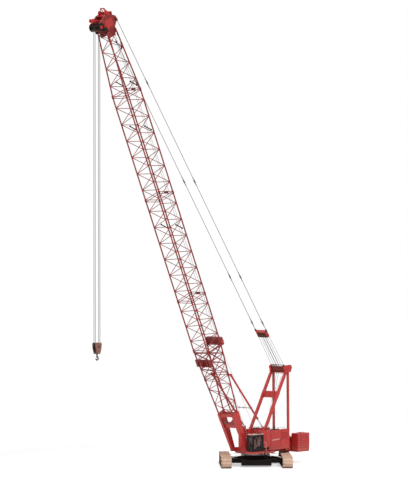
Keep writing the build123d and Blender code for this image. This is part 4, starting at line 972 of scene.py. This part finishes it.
gaskets = []
front_x = 1.53
for low, high in (((front_x - 0.004, 0.815, 0.985), (front_x + 0.006, 0.835, 1.80)),
                  ((front_x - 0.004, 1.175, 0.985), (front_x + 0.006, 1.195, 1.80)),
                  ((front_x - 0.004, 0.815, 0.985), (front_x + 0.006, 1.195, 1.005)),
                  ((front_x - 0.004, 0.815, 1.29), (front_x + 0.006, 1.195, 1.305)),
                  ((front_x - 0.004, 0.815, 1.785), (front_x + 0.006, 1.195, 1.805))):
    gaskets.append(block(low, high, 0.003))
gaskets += [rod((front_x + 0.018, 1.00, 1.78), (front_x + 0.018, 0.92, 1.40), 0.005, 6),
            rod((front_x + 0.016, 0.94, 1.36), (front_x + 0.016, 0.90, 1.62), 0.006, 6),
            block((front_x + 0.002, 0.97, 1.76), (front_x + 0.026, 1.03, 1.80), 0.005)]
inner_y = 0.76
for low, high in (((0.765, inner_y - 0.006, 1.235), (1.445, inner_y + 0.004, 1.255)),
                  ((0.765, inner_y - 0.006, 1.765), (1.445, inner_y + 0.004, 1.785)),
                  ((1.10, inner_y - 0.006, 1.25), (1.118, inner_y + 0.004, 1.77))):
    gaskets.append(block(low, high, 0.003))
finished(gaskets, "cab_window_gaskets", "upperworks", "dark_plastic")

skin = [panel((1.405, 1.249, 0.912), (1.528, 1.256, 1.845), (0, 1, 0), 0.012, -0.003),
        block((0.682, 1.249, 0.905), (1.528, 1.254, 0.935), 0.002),
        panel((front_x - 0.001, 0.79, 0.91), (front_x + 0.006, 1.22, 0.975), (1, 0, 0), 0.010, -0.003),
        block((0.672, 0.77, 0.91), (0.680, 1.24, 1.25), 0.002)]
finished(skin, "cab_skin_panels", "upperworks", "dark_plastic")

lamps = []
for y in (0.82, 1.19):
    lamps.append(stepped((1.555, y, 1.913), (1, 0, 0), 0.030, 0.04, ((0.005, -0.006), (0.010, 0.003)), 20))
    lamps.append(block((1.545, y - 0.006, 1.884), (1.565, y + 0.006, 1.90), 0.002))
mirror_arm = [rod((1.50, 1.262, 1.80), (1.62, 1.36, 1.82), 0.006),
              rod((1.50, 1.262, 1.45), (1.62, 1.36, 1.43), 0.006),
              rod((1.62, 1.36, 1.43), (1.62, 1.36, 1.82), 0.006),
              panel((1.612, 1.315, 1.50), (1.632, 1.415, 1.76), (-1, 0, 0), 0.008, -0.003)]
finished(lamps + mirror_arm, "cab_lamps_and_mirror", "upperworks", "dark_plastic")
grab = [rod((1.44, 1.275, 1.10), (1.44, 1.275, 1.60), 0.008),
        rod((1.44, 1.25, 1.12), (1.44, 1.278, 1.12), 0.007),
        rod((1.44, 1.25, 1.58), (1.44, 1.278, 1.58), 0.007)]
finished(grab, "cab_grab_rail", "upperworks", "pale_paint")
handle = [block((1.33, 1.249, 1.36), (1.375, 1.262, 1.40), 0.003),
          rod((1.345, 1.268, 1.33), (1.345, 1.268, 1.43), 0.006),
          block((0.83, 1.2495, 0.955), (1.37, 1.256, 0.972), 0.002),
          block((0.83, 1.2495, 1.055), (1.37, 1.256, 1.07), 0.002)]
finished(handle, "cab_door_handle", "cab_door", "dark_plastic")

seat_x = 0.985


def filled(piece, cap, grid=0.011, frames=14):
    """Swells a closed shape as a stuffed cushion does, no point further than cap."""
    hold(piece)
    remesh = piece.modifiers.new("grid", "REMESH")
    remesh.mode = "VOXEL"
    remesh.voxel_size = grid
    bpy.ops.object.modifier_apply(modifier=remesh.name)
    before = [vertex.co.copy() for vertex in piece.data.vertices]
    cloth = piece.modifiers.new("filling", "CLOTH")
    cloth.settings.quality = 4
    cloth.settings.use_pressure = True
    cloth.settings.uniform_pressure_force = 4.0
    cloth.settings.effector_weights.gravity = 0.0
    for frame_number in range(1, frames + 1):
        bpy.context.scene.frame_set(frame_number)
    bpy.ops.object.modifier_apply(modifier=cloth.name)
    for vertex, start in zip(piece.data.vertices, before):
        moved = vertex.co - start
        if moved.length > cap:
            vertex.co = start + moved * (cap / moved.length)
    bpy.context.scene.frame_set(1)
    return piece


seat_base = [block((seat_x - 0.06, cab_y - 0.085, 0.915), (seat_x + 0.06, cab_y + 0.085, 1.13), 0.02, 2),
             block((seat_x - 0.10, cab_y - 0.10, 1.125), (seat_x + 0.12, cab_y + 0.10, 1.15), 0.008)]
finished(seat_base, "operator_seat_base", "upperworks", "dark_plastic")
cushion = filled(block((seat_x - 0.12, cab_y - 0.115, 1.158),
                       (seat_x + 0.14, cab_y + 0.115, 1.212), 0.018, 3), 0.012)
back = settle(filled(block((-0.024, -0.11, 0.01), (0.024, 0.11, 0.39), 0.016, 3), 0.012),
              Matrix.Translation((seat_x - 0.125, cab_y, 1.20)) @ Matrix.Rotation(radians(-8), 4, "Y"))
head_rest = settle(filled(block((-0.018, -0.068, 0.005), (0.018, 0.068, 0.11), 0.012, 3), 0.008),
                   Matrix.Translation((seat_x - 0.182, cab_y, 1.61)) @ Matrix.Rotation(radians(-8), 4, "Y"))
seat = finished([cushion, back, head_rest], "operator_seat_cushions", "upperworks", "seat_fabric", 60)
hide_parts("operator_seat")
controls = [block((1.335, cab_y - 0.10, 0.915), (1.425, cab_y + 0.10, 1.20), 0.012, 2),
            block((1.34, cab_y - 0.13, 1.20), (1.43, cab_y + 0.13, 1.245), 0.010, 2),
            block((0.885, 0.800, 0.915), (1.175, 0.868, 1.20), 0.012, 2),
            block((0.885, 1.145, 1.16), (1.175, 1.185, 1.20), 0.010, 2),
            block((1.36, 0.83, 1.30), (1.385, 0.95, 1.40), 0.006)]
for x, y in ((1.12, 0.834), (1.05, 0.834), (1.12, 1.165), (1.36, cab_y - 0.05), (1.36, cab_y + 0.05)):
    controls.append(rod((x, y, 1.19), (x + 0.02, y, 1.32), 0.006, 8))
    controls.append(stepped((x + 0.018, y, 1.305), (0.15, 0, 1), 0.014, 0.03, ((0.004, 0.006),), 12))
controls = finished(controls, "operator_controls", "upperworks", "dark_plastic")
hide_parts("control_console")

# ---- boom: section joints, weld seats and foot ------------------------------------------
boom_width, boom_depth = 1.050, 1.150
head_width, head_depth = 0.760, 0.620
butt_length, top_start, boom_end = 6.450, 21.700, 25.350
chord_radius, lacing_radius = 0.039, 0.019
batten_inset = 0.075
section_ends = (2.350, 4.600, 6.450, 9.500, 15.600, 21.700, 25.350)


def half_depth(s):
    if s < butt_length:
        return s * boom_depth / butt_length / 2
    share = max(0.0, (s - top_start) / (boom_end - top_start))
    return boom_depth / 2 + (head_depth - boom_depth) / 2 * share


def half_width(s):
    share = max(0.0, (s - top_start) / (boom_end - top_start))
    return boom_width / 2 + (head_width - boom_width) / 2 * share


def chord_point(s, y_sign, w_sign):
    return Vector((s, y_sign * half_width(s), w_sign * half_depth(s)))


corners = ((1, 1), (1, -1), (-1, 1), (-1, -1))
faces = (((1, -1), (1, 1)), ((-1, 1), (-1, -1)), ((1, -1), (-1, -1)), ((-1, 1), (1, 1)))
section_names = ("boom_lower_butt", "boom_upper_butt", "boom_insert_1",
                 "boom_insert_2", "boom_insert_3", "boom_top_section")

seat_length = 0.075
model_seat = rod((0, 0, 0), (seat_length, 0, 0), lacing_radius + 0.0022, 8, 0.003)
for name, start, end in zip(section_names, section_ends, section_ends[1:]):
    first = start + 2 * batten_inset
    bays = round((end - start - 4 * batten_inset) / 0.475)
    step = (end - start - 4 * batten_inset) / bays
    seats = []
    for one, other in faces:
        spans = [(chord_point(s, *one), chord_point(s, *other))
                 for s in (start + batten_inset * 0.8, end - batten_inset * 0.8)]
        for bay in range(bays):
            low, high = (one, other) if bay % 2 == 0 else (other, one)
            spans.append((chord_point(first + bay * step, *low),
                          chord_point(first + (bay + 1) * step, *high)))
        for here, there in spans:
            for root, tip in ((here, there), (there, here)):
                way = (tip - root).normalized()
                turned = way.to_track_quat("X", "Z").to_matrix().to_4x4()
                seats.append(twin(model_seat, boom @ Matrix.Translation(root + way * 0.022) @ turned))
    finished(seats, f"{name}_weld_seats", "boom", "red_paint")
bpy.data.objects.remove(model_seat)

model_joint = gathered([
    rod((-0.085, 0, 0), (-0.055, 0, 0), chord_radius + 0.010, 12, 0.004),
    rod((0.055, 0, 0), (0.085, 0, 0), chord_radius + 0.010, 12, 0.004),
    block((-0.066, -0.034, -0.048), (0.066, -0.016, 0.048), 0.006),
    block((-0.066, 0.016, -0.048), (0.066, 0.034, 0.048), 0.006),
    rod((0.0, -0.058, 0), (0.0, 0.058, 0), 0.024, 12, 0.004),
])
joints = []
for s in section_ends[1:-1]:
    for y_sign, w_sign in corners:
        joints.append(twin(model_joint, boom @ Matrix.Translation(chord_point(s, y_sign, w_sign))))
bpy.data.objects.remove(model_joint)
finished(joints, "boom_section_joints", "boom", "dark_red_paint")

stowed = []
for s in (22.20, 19.60, 13.75):
    for y_sign in (-1, 1):
        y = y_sign * (half_width(s) + 0.030)
        bar_ends = (s + 0.16, y, 0.02), (s - 0.22, y, 0.40)
        stowed.append(rod(*bar_ends, 0.030, 10, 0.004))
        for place in bar_ends:
            stowed.append(block((place[0] - 0.035, y - 0.036, place[2] - 0.035),
                                (place[0] + 0.035, y + 0.036, place[2] + 0.035), 0.006))
for s, w in ((25.00, 0.30), (24.64, 0.02), (24.24, 0.24), (24.44, 0.33)):
    y = half_width(s) + 0.022
    stowed.append(panel((s - 0.07, y - 0.030, w - 0.035), (s + 0.07, y + 0.030, w + 0.035),
                        (0, 1, 0), 0.012, -0.006, 0.006))
finished(settled(stowed, boom), "boom_stowed_links", "boom", "dark_plastic")

# plate legs at the foot: edge flanges, stiffeners and the notched tie plate
leg_flanges = []
foot_leg_length = 2.350
leg_half = foot_leg_length * boom_depth / butt_length / 2 + chord_radius
for y_sign in (-1, 1):
    y = y_sign * 0.525
    for w_sign in (-1, 1):
        low = Vector((0.05, y, w_sign * 0.113))
        high = Vector((foot_leg_length - 0.01, y, w_sign * leg_half))
        flange = block((0, -0.088, -0.007), ((high - low).length, 0.088, 0.007), 0.004)
        settle(flange, boom @ plane_matrix(low, high - low))
        leg_flanges.append(flange)
    for out in (-1, 1):
        face_y = y + out * 0.075
        for s in (0.45, 1.05, 1.65):
            depth = 0.11 + (leg_half - 0.11) * s / foot_leg_length - 0.02
            rib = block((s - 0.007, face_y, -depth), (s + 0.007, face_y + out * 0.008, depth), 0.002)
            leg_flanges.append(settle(rib, boom))
        leg_flanges.append(settle(stepped((0, face_y, 0), (0, out, 0), 0.092, 0.007, ((0.02, 0.002),), 24),
                                  boom))
    for s in (2.00, 2.25):
        leg_flanges.append(settle(block((s - 0.03, y - 0.085, -leg_half),
                                        (s + 0.03, y + 0.085, leg_half), 0.004), boom))
finished(leg_flanges, "boom_foot_flanges", "boom", "red_paint")

notch = []
for y_sign in (-1, 1):
    wing = block((1.70, -0.46, -0.012), (2.02, 0.46, 0.012), 0.004)
    cut(wing, (1.70, 0.0, 0.0), (0.72, -y_sign * 0.69, 0.0))
    notch.append(settle(wing, boom @ shift(0.0, 0.0, -0.17)))
finished(notch, "boom_foot_notch_plate", "boom", "dark_red_paint")

# dense bracing of the butt's last bays, and the winch guide
butt = []
for one, other in faces:
    for s0, s1 in ((4.72, 5.28), (5.28, 5.84), (5.84, 6.34)):
        for here, there in ((one, other), (other, one)):
            butt.append(settle(rod(chord_point(s0, *here), chord_point(s1, *there), 0.021, 10), boom))
    butt.append(settle(rod(chord_point(5.28, *one), chord_point(5.28, *other), 0.024, 10), boom))
    butt.append(settle(rod(chord_point(5.84, *one), chord_point(5.84, *other), 0.024, 10), boom))
finished(butt, "boom_butt_bracing", "boom", "boom_red")

guide_s, guide_w = 5.75, -0.645
winch = []
for y_sign in (-1, 1):
    winch.append(stepped((guide_s, y_sign * 0.062, guide_w - 0.075), (0, y_sign, 0), 0.150, 0.016,
                         ((0.02, -0.006), (0.07, 0.010), (0.02, 0.012)), 28))
    winch += bolts(ring_of((guide_s, y_sign * 0.075, guide_w - 0.075), (0, y_sign, 0), 0.12, 10),
                   (0, y_sign, 0), 0.008)
    for s in (5.58, 5.92):
        winch.append(block((s - 0.03, y_sign * 0.525 - 0.05, guide_w + 0.035),
                           (s + 0.03, y_sign * 0.525 + 0.05, guide_w + 0.12), 0.008))
    winch.append(rod((5.56, y_sign * 0.20, guide_w - 0.08),
                     (5.94, y_sign * 0.20, guide_w - 0.08), 0.018, 10))
    winch.append(rod((5.60, y_sign * 0.36, guide_w - 0.07),
                     (5.90, y_sign * 0.36, guide_w - 0.07), 0.030, 12))
winch.append(rod((5.60, -0.50, guide_w - 0.07), (5.60, 0.50, guide_w - 0.07), 0.016, 10))
winch.append(rod((5.90, -0.50, guide_w - 0.07), (5.90, 0.50, guide_w - 0.07), 0.016, 10))
finished(settled(winch, boom), "boom_guide_rollers", "boom", "dark_red_paint")

rear = []
box_w = boom_depth / 2 + chord_radius
for y_sign in (-1, 1):
    rear.append(stepped((6.49, y_sign * 0.546, box_w + 0.10), (0, y_sign, 0), 0.115, 0.014,
                        ((0.018, -0.006), (0.03, 0.012), (0.03, -0.004)), 26))
    rear += bolts(ring_of((6.49, y_sign * 0.556, box_w + 0.10), (0, y_sign, 0), 0.105, 8),
                  (0, y_sign, 0), 0.007)
rear.append(panel((6.30, -0.48, box_w + 0.199), (6.68, 0.48, box_w + 0.212), (0, 0, 1), 0.03, -0.005))
for y in (-0.3, 0.0, 0.3):
    rear.append(block((6.27, y - 0.012, box_w + 0.01), (6.71, y + 0.012, box_w + 0.21), 0.004))
finished(settled(rear, boom), "boom_rear_box_fittings", "boom", "red_paint")


def hoop(center, axis, radius, thickness, segments=28):
    """A ring of round bar, its outer faces broken."""
    axis = Vector(axis).normalized()
    deselect()
    bpy.ops.mesh.primitive_torus_add(major_radius=radius, minor_radius=thickness,
                                     major_segments=segments, minor_segments=8, location=center,
                                     rotation=axis.to_track_quat("Z", "Y").to_euler())
    piece = bake_place(bpy.context.object)
    middle = Vector(center)
    open_mesh(piece, lambda face: abs((face.center - middle).dot(axis)) > thickness * 0.8)
    bpy.ops.mesh.inset(thickness=thickness * 0.12)
    shut_mesh()
    return piece


def flange(start, end, width, thickness):
    """A flat strip along an edge between two points of the boom's middle plane, in boom coordinates."""
    start, end = Vector(start), Vector(end)
    strip = block((0, -width / 2, -thickness / 2),
                  ((end - start).length, width / 2, thickness / 2), thickness * 0.3)
    return settle(strip, plane_matrix(start, end - start))


# ---- boom head ---------------------------------------------------------------------------
plate_y, plate_face = 0.3257, 0.3407
sheave_s, sheave_w = 25.750, -0.620
pendant_s, pendant_w = 25.800, 0.560
head_edges = ((25.38, -0.325, 25.56, -0.71), (25.56, -0.71, 25.94, -0.71), (25.94, -0.71, 26.21, -0.12),
              (26.21, 0.12, 25.92, 0.62), (25.92, 0.62, 25.68, 0.62), (25.68, 0.62, 25.38, 0.325))
head = []
for sign in (-1, 1):
    for s0, w0, s1, w1 in head_edges:
        head.append(flange((s0, sign * plate_y, w0), (s1, sign * plate_y, w1), 0.058, 0.012))
    out = (0, sign, 0)
    head.append(stepped((sheave_s, sign * (plate_face + 0.014), sheave_w), out,
                        0.092, 0.012, ((0.02, 0.014), (0.025, -0.006)), 24))
    head += bolts(ring_of((sheave_s, sign * (plate_face + 0.024), sheave_w), out, 0.082, 8),
                  out, 0.009, 0.008)
    head.append(stepped((pendant_s, sign * plate_face, pendant_w), out,
                        0.058, 0.030, ((0.012, 0.006),), 20))
    head.append(stepped((pendant_s, sign * 0.4285, pendant_w), out, 0.040, 0.010, ((0.012, 0.006),), 18))
    head.append(hoop((26.15, sign * (plate_face + 0.004), 0.0), out, 0.045, 0.009, 24))
    for s, w in ((25.15, -0.17), (25.15, 0.17), (25.27, -0.17), (25.27, 0.17)):
        head += bolts([(s, sign * plate_face, w)], out, 0.014, 0.010)
    rib = panel((25.50, sign * plate_face, -0.26),
                (25.95, sign * (plate_face + 0.008), 0.30), out, 0.03, -0.005)
    head.append(rib)
    head.append(rod((26.00, sign * 0.29, 0.10), (26.52, sign * 0.10, 0.16), 0.026, 12, 0.004))
    head.append(rod((25.95, sign * 0.29, 0.45), (26.50, sign * 0.10, 0.20), 0.022, 12, 0.004))
    head.append(rod((25.98, sign * 0.13, -0.30), (26.22, sign * 0.11, -0.84), 0.030, 12, 0.004))
    head.append(stepped((26.20, sign * 0.085, -0.82), out, 0.105, 0.026,
                        ((0.02, 0.004), (0.03, 0.012)), 24))
for sign in (-1, 1):
    gusset = block((25.98, sign * 0.24 - 0.010, -0.02), (26.44, sign * 0.24 + 0.010, 0.47), 0.004)
    cut(gusset, (26.44, 0.0, 0.08), (0.80, 0.0, 0.60))
    cut(gusset, (26.30, 0.0, -0.02), (0.70, 0.0, -0.72))
    head.append(gusset)
head.append(rod((26.51, -0.16, 0.18), (26.51, 0.16, 0.18), 0.030, 14, 0.004))
head.append(block((26.16, -0.31, 0.40), (26.24, 0.31, 0.48), 0.010))
head.append(block((25.93, -0.31, 0.40), (26.20, -0.25, 0.47), 0.010))
head.append(block((25.93, 0.25, 0.40), (26.20, 0.31, 0.47), 0.010))
for s, w, radius in ((25.66, 0.50, 0.022), (25.97, 0.42, 0.022),
                     (25.52, -0.56, 0.018), (26.02, -0.42, 0.018)):
    head.append(rod((s, -0.315, w), (s, 0.315, w), radius, 14, 0.003))
head.append(block((26.165, -0.315, -0.095), (26.185, 0.315, 0.095), 0.004))
head.append(block((25.48, -0.315, 0.20), (25.62, 0.315, 0.215), 0.004))
finished(settled(head, boom), "boom_head_fittings", "boom", "red_paint")

covers = []
painted_shade_panels = []
for sign in (-1, 1):
    out = (0, sign, 0)
    covers.append(stepped((sheave_s, sign * (plate_face - 0.002), sheave_w), out,
                          0.235, 0.012, ((0.02, 0.004), (0.05, -0.004)), 32))
    covers.append(panel((25.30, sign * plate_face, -0.50),
                        (25.62, sign * (plate_face + 0.010), -0.22), out, 0.02, -0.004))
    # dark red panels sunk into the head plates: their colour is painted shade, the shade of a recess
    painted_shade_panels.append(panel((25.10, sign * plate_face, -0.02),
                          (25.47, sign * (plate_face + 0.009), 0.34), out, 0.02, -0.004))
    painted_shade_panels.append(panel((25.98, sign * plate_face, -0.30),
                          (26.12, sign * (plate_face + 0.009), 0.24), out, 0.02, -0.004))
finished(settled(covers, boom), "boom_head_sheave_covers", "boom", "dark_steel")
finished(settled(painted_shade_panels, boom), "boom_head_painted_shade_panels", "boom", "dark_red_paint")

head_rollers = []
for angle in (20, 75, 130, 250, 310):
    s = sheave_s + 0.222 * cos(radians(angle))
    w = sheave_w + 0.222 * sin(radians(angle))
    head_rollers.append(rod((s, -0.312, w), (s, 0.312, w), 0.010, 10))
for s, w, radius in ((25.56, 0.345, 0.062), (21.70, 0.60, 0.034),
                     (15.60, 0.612, 0.034), (9.50, 0.612, 0.034)):
    for y in (-0.10, 0.02):
        head_rollers.append(stepped((s, y, w), (0, 1, 0), radius, 0.020,
                                    ((0.012, 0.0), (0.0, 0.040), (-0.012, 0.0), (0.0, 0.020)), 20))
    head_rollers.append(rod((s, -0.30 if s > 25 else -0.14, w),
                            (s, 0.30 if s > 25 else 0.14, w), 0.014, 10))
    if s < 25:
        for y in (-0.13, 0.13):
            head_rollers.append(block((s - 0.020, y - 0.008, w - 0.055),
                                      (s + 0.020, y + 0.008, w + 0.020), 0.004))
        head_rollers.append(block((s - 0.030, -0.16, w - 0.062), (s + 0.030, 0.16, w - 0.048), 0.003))
finished(settled(head_rollers, boom), "boom_rope_rollers", "boom", "sheave_steel")

switch = [block((25.46, 0.3407, -0.60), (25.56, 0.385, -0.50), 0.008),
          rod((25.50, 0.362, -0.60), (25.50, 0.362, -0.66), 0.012, 10),
          panel((26.10, -0.05, 0.13), (26.20, 0.05, 0.20), (1, 0, 0), 0.012, -0.006)]
for y in (-0.22, 0.22):
    switch.append(stepped((26.175, y, 0.05), (1, 0, 0), 0.030, 0.028, ((0.006, 0.020), (0.008, 0.004)), 16))
finished(settled(switch, boom), "boom_head_lamps", "boom", "dark_plastic")

# ---- ropes --------------------------------------------------------------------------------
hook_x, falls_top, falls_foot = block_axis.x, head_axis.z, block_axis.z
fall_offset, sheave_pitch, fall_radius = 0.1743, 0.1009, 0.0135
falls = []
for x in (-fall_offset, fall_offset):
    for y in (-sheave_pitch / 2, sheave_pitch / 2):
        falls.append(line((hook_x + x, y, falls_foot), (hook_x + x, y, falls_top), fall_radius))
falls = finished(falls, "hoist_fall_ropes", None, "rope_steel", 60)
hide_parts("hoist_falls")
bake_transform(falls)

roller_s, roller_w = 6.490, 0.850
roller = [rod((roller_s, -0.24, roller_w), (roller_s, 0.24, roller_w), 0.021, 14, 0.003)]
for y in (-0.25, 0.0, 0.25):
    roller.append(block((roller_s - 0.035, y - 0.008, 0.815),
                        (roller_s + 0.035, y + 0.008, roller_w + 0.03), 0.004))
finished(settled(roller, boom), "boom_rear_roller", "boom", "sheave_steel")
guide_points = {y: boom @ Vector((roller_s, y, roller_w + 0.030)) for y in (-0.09, 0.09)}
hoist_line_z, hoist_line_radius = 1.605, 0.009
up_lines = [line((main_x, -0.09, hoist_line_z), guide_points[-0.09], hoist_line_radius),
            line((auxiliary_x, 0.09, hoist_line_z), guide_points[0.09], hoist_line_radius)]
up_lines = finished(up_lines, "hoist_lines", None, "new_rope", 60)
tuple(guide_points[0.09])
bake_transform(up_lines)

run_points = ((roller_s, roller_w + 0.030), (21.70, 0.642),
              (25.56, 0.415), (sheave_s + 0.13, sheave_w + 0.10))
runs = []
for y, lane in ((-0.09, -0.07), (0.09, 0.05)):
    ends = [Vector((s, y if number == 0 else lane, w)) for number, (s, w) in enumerate(run_points)]
    runs += [settle(line(start, end, 0.008), boom) for start, end in zip(ends, ends[1:])]
finished(runs, "boom_hoist_ropes", "boom", "rope_steel", 60)

# ---- boom stops ---------------------------------------------------------------------------
stop_top = boom @ Vector((4.55, 0, half_depth(4.55)))
stop_foot_x, stop_foot_z = 0.150, 2.190
stop_foot = Vector((stop_foot_x, 0, stop_foot_z))
stop_length = (stop_foot - stop_top).length
stop = plane_matrix(stop_top, stop_foot - stop_top)
lugs = []
for side, sign in sides.items():
    y = sign * 0.700
    tubes = [rod((3.33, y, 0), (3.405, y, 0), 0.064, 20, 0.005),
             rod((0.10, y, 0), (0.16, y, 0), 0.063, 20, 0.005)]
    for along in (0.9, 1.7, 2.5):
        tubes.append(rod((along, y, 0), (along + 0.018, y, 0), 0.0585, 20, 0.002))
    tubes.append(block((2.53, y - 0.062, -0.062), (2.57, y + 0.062, 0.062), 0.008))
    for out in (-1, 1):
        tubes.append(stepped((0, y + out * 0.0452, 0), (0, out, 0), 0.056,
                             0.008, ((0.012, 0.010), (0.018, -0.004)), 20))
    tubes.append(block((3.20, y - 0.022, 0.050), (3.28, y + 0.022, 0.082), 0.006))
    finished(settled(tubes, stop), f"{side}_stop_tube_collars", "boom", "red_paint")
    arm = [rod((2.55, y - sign * 0.05, 0.0), (2.55, 0.0, 0.0), 0.024, 12, 0.003),
           rod((2.49, sign * 0.16, 0.0), (2.61, sign * 0.16, 0.0), 0.034, 14, 0.004)]
    finished(settled(arm, stop), f"{side}_strut_arm", "boom", "grey_steel")
    eye = [rod((stop_length - 0.150, y, 0), (stop_length - 0.115, y, 0), 0.0365, 18, 0.002)]
    eye.append(rod((stop_length - 0.200, y, 0), (stop_length - 0.180, y, 0), 0.0365, 18, 0.002))
    finished(settled(eye, stop), f"{side}_stop_rod_eye", f"{side}_stop_rod", "red_paint")
    for way in (-1, 1):
        face = y + way * 0.060
        lugs.append(stepped((stop_foot_x, face, stop_foot_z), (0, way, 0),
                            0.034, 0.010, ((0.010, 0.006),), 18))
        lugs.append(block((0.055, y + way * 0.052 - 0.020, 2.000),
                          (0.245, y + way * 0.052 + 0.020, 2.022), 0.005))
finished(lugs, "stop_foot_lugs", "upperworks", "red_paint")

# ---- hook ---------------------------------------------------------------------------------
cheek_face = 0.1329
cheeks = []
shafts = []
for sign in (-1, 1):
    out = (0, sign, 0)
    low_y, high_y = sorted((sign * cheek_face, sign * (cheek_face + 0.020)))
    cheek = block((hook_x - 0.20, low_y, falls_foot - 0.34),
                  (hook_x + 0.20, high_y, falls_foot + 0.12), 0.006)
    for way in (-1, 1):
        cut(cheek, (hook_x + way * 0.20, 0, falls_foot - 0.04), (way * 0.93, 0, -0.36))
        cut(cheek, (hook_x + way * 0.14, 0, falls_foot + 0.12), (way * 0.8, 0, 0.6))
    cheeks.append(cheek)
    shafts.append(stepped((hook_x, sign * (cheek_face + 0.019), falls_foot), out,
                          0.058, 0.012, ((0.016, 0.012), (0.016, -0.006)), 22))
    spots = [(hook_x + x, sign * (cheek_face + 0.019), falls_foot + z)
             for x, z in ((-0.10, -0.12), (0.10, -0.12), (-0.055, -0.25),
                          (0.055, -0.25), (-0.12, 0.06), (0.12, 0.06))]
    shafts += bolts(spots, out, 0.013, 0.010)
for x, z in ((-0.17, 0.185), (0.17, 0.185), (0.0, 0.205)):
    shafts.append(rod((hook_x + x, -0.125, falls_foot + z),
                      (hook_x + x, 0.125, falls_foot + z), 0.014, 12, 0.002))
for x in (-0.085, 0.085):
    shafts.append(block((hook_x + x - 0.010, -0.12, falls_foot - 0.385),
                        (hook_x + x + 0.010, 0.12, falls_foot - 0.255), 0.004))
shafts.append(stepped((hook_x, 0, falls_foot - 0.255), (0, 0, 1), 0.062,
                      0.022, ((0.010, 0.020), (0.012, 0.0)), 6))
finished(cheeks, "hook_block_cheeks", "hook_block", "hook_red")
finished(shafts, "hook_block_shafts", "hook_block", "sheave_steel")
hook_mid = falls_foot - 0.620
latch = block((-0.010, -0.020, -0.004), (0.118, 0.020, 0.004), 0.002)
settle(latch,
       Matrix.Translation((hook_x + 0.008, 0, hook_mid + 0.068)) @ Matrix.Rotation(radians(38), 4, "Y"))
collar = [stepped((hook_x, 0, falls_foot - 0.384), (0, 0, -1), 0.056, 0.020,
                  ((0.010, 0.014), (0.004, 0.0)), 24), latch,
          rod((hook_x, -0.026, hook_mid + 0.070), (hook_x, 0.026, hook_mid + 0.070), 0.008, 10)]
finished(collar, "hook_collar_and_latch", "hook", "hook_steel")

# ---- light, floor and camera -----------------------------------------------------------------
scene = bpy.context.scene
scene.view_settings.view_transform = "Standard"
world = bpy.data.worlds.new("studio")
scene.world = world
world.use_nodes = True
surround = world.node_tree.nodes["Background"]
seen = add_node(world.node_tree, "ShaderNodeLightPath")
first_seen = counted(world.node_tree, "MAXIMUM", seen.outputs["Is Camera Ray"],
                     seen.outputs["Is Glossy Ray"])
any_seen = counted(world.node_tree, "MAXIMUM", first_seen, seen.outputs["Is Transmission Ray"])
sky_level = 0.62
surround.inputs["Color"].default_value = (1, 1, 1, 1)
strength = counted(world.node_tree, "ADD",
                   counted(world.node_tree, "MULTIPLY", any_seen, 1.0 - sky_level), sky_level)
link(world.node_tree, strength, surround.inputs["Strength"])

deselect()
bpy.ops.object.light_add(type="SUN", rotation=(radians(42), 0, radians(150)))
sun = bpy.context.object
sun.name = "soft_sun"
sun.data.energy = 1.9
sun.data.angle = radians(25)
bpy.ops.object.light_add(type="SUN", rotation=(radians(68), 0, radians(95)))
fill = bpy.context.object
fill.name = "soft_fill"
fill.data.energy = 0.5
fill.data.angle = radians(40)

deselect()
bpy.ops.mesh.primitive_circle_add(vertices=96, radius=80, fill_type="NGON", location=(4, 0, -0.002))
floor = bake_place(bpy.context.object)
floor.name = "studio_floor"
open_mesh(floor)
bpy.ops.mesh.inset(thickness=20)
shut_mesh()
# the floor's glow lifts the shadow under the crane and fades out round it, since a floor brighter
# than white would hide thin ropes that are seen against it
floor_glow, glow_full, glow_gone = 0.45, 9.0, 16.0
floor_paint = bpy.data.materials.new("floor_white")
floor_paint.use_nodes = True
floor_tree = floor_paint.node_tree
floor_shader = floor_tree.nodes["Principled BSDF"]
floor_shader.inputs["Base Color"].default_value = (0.9, 0.9, 0.9, 1)
floor_shader.inputs["Roughness"].default_value = 0.9
floor_shader.inputs["Specular IOR Level"].default_value = 0.1
floor_seen = add_node(floor_tree, "ShaderNodeLightPath")
floor_bounced = counted(floor_tree, "MAXIMUM", floor_seen.outputs["Is Glossy Ray"],
                        floor_seen.outputs["Is Transmission Ray"])
floor_shader.inputs["Emission Color"].default_value = (1, 1, 1, 1)
floor_point = add_node(floor_tree, "ShaderNodeTexCoord")
floor_reach = add_node(floor_tree, "ShaderNodeVectorMath")
floor_reach.operation = "LENGTH"
link(floor_tree, floor_point.outputs["Object"], floor_reach.inputs[0])
floor_fade = add_node(floor_tree, "ShaderNodeMapRange")
for socket, value in (("From Min", glow_full), ("From Max", glow_gone),
                      ("To Min", floor_glow), ("To Max", 0.0)):
    floor_fade.inputs[socket].default_value = value
link(floor_tree, floor_reach.outputs["Value"], floor_fade.inputs["Value"])
floor_direct = counted(floor_tree, "MULTIPLY", floor_seen.outputs["Is Camera Ray"],
                       floor_fade.outputs["Result"])
floor_lift = counted(floor_tree, "MAXIMUM", floor_direct,
                     counted(floor_tree, "MULTIPLY", floor_bounced, floor_glow))
link(floor_tree, floor_lift, floor_shader.inputs["Emission Strength"])
floor.data.materials.append(floor_paint)

yaw, pitch, roll = radians(133.29), radians(-0.62), radians(-0.02)
ahead = Vector((-sin(yaw) * cos(pitch), cos(yaw) * cos(pitch), sin(pitch)))
level = Vector((cos(yaw), sin(yaw), 0))
upward = level.cross(ahead)
right = level * cos(roll) + upward * sin(roll)
top = upward * cos(roll) - level * sin(roll)
camera_data = bpy.data.cameras.new("long_lens")
camera = bpy.data.objects.new("long_lens", camera_data)
scene.collection.objects.link(camera)
place = Vector((118.43, 107.58, 14.18))
camera.matrix_world = Matrix((
    (right.x, top.x, -ahead.x, place.x),
    (right.y, top.y, -ahead.y, place.y),
    (right.z, top.z, -ahead.z, place.z),
    (0, 0, 0, 1),
))
camera_data.lens = 208.2
camera_data.sensor_width = 36
camera_data.clip_end = 600
scene.camera = camera
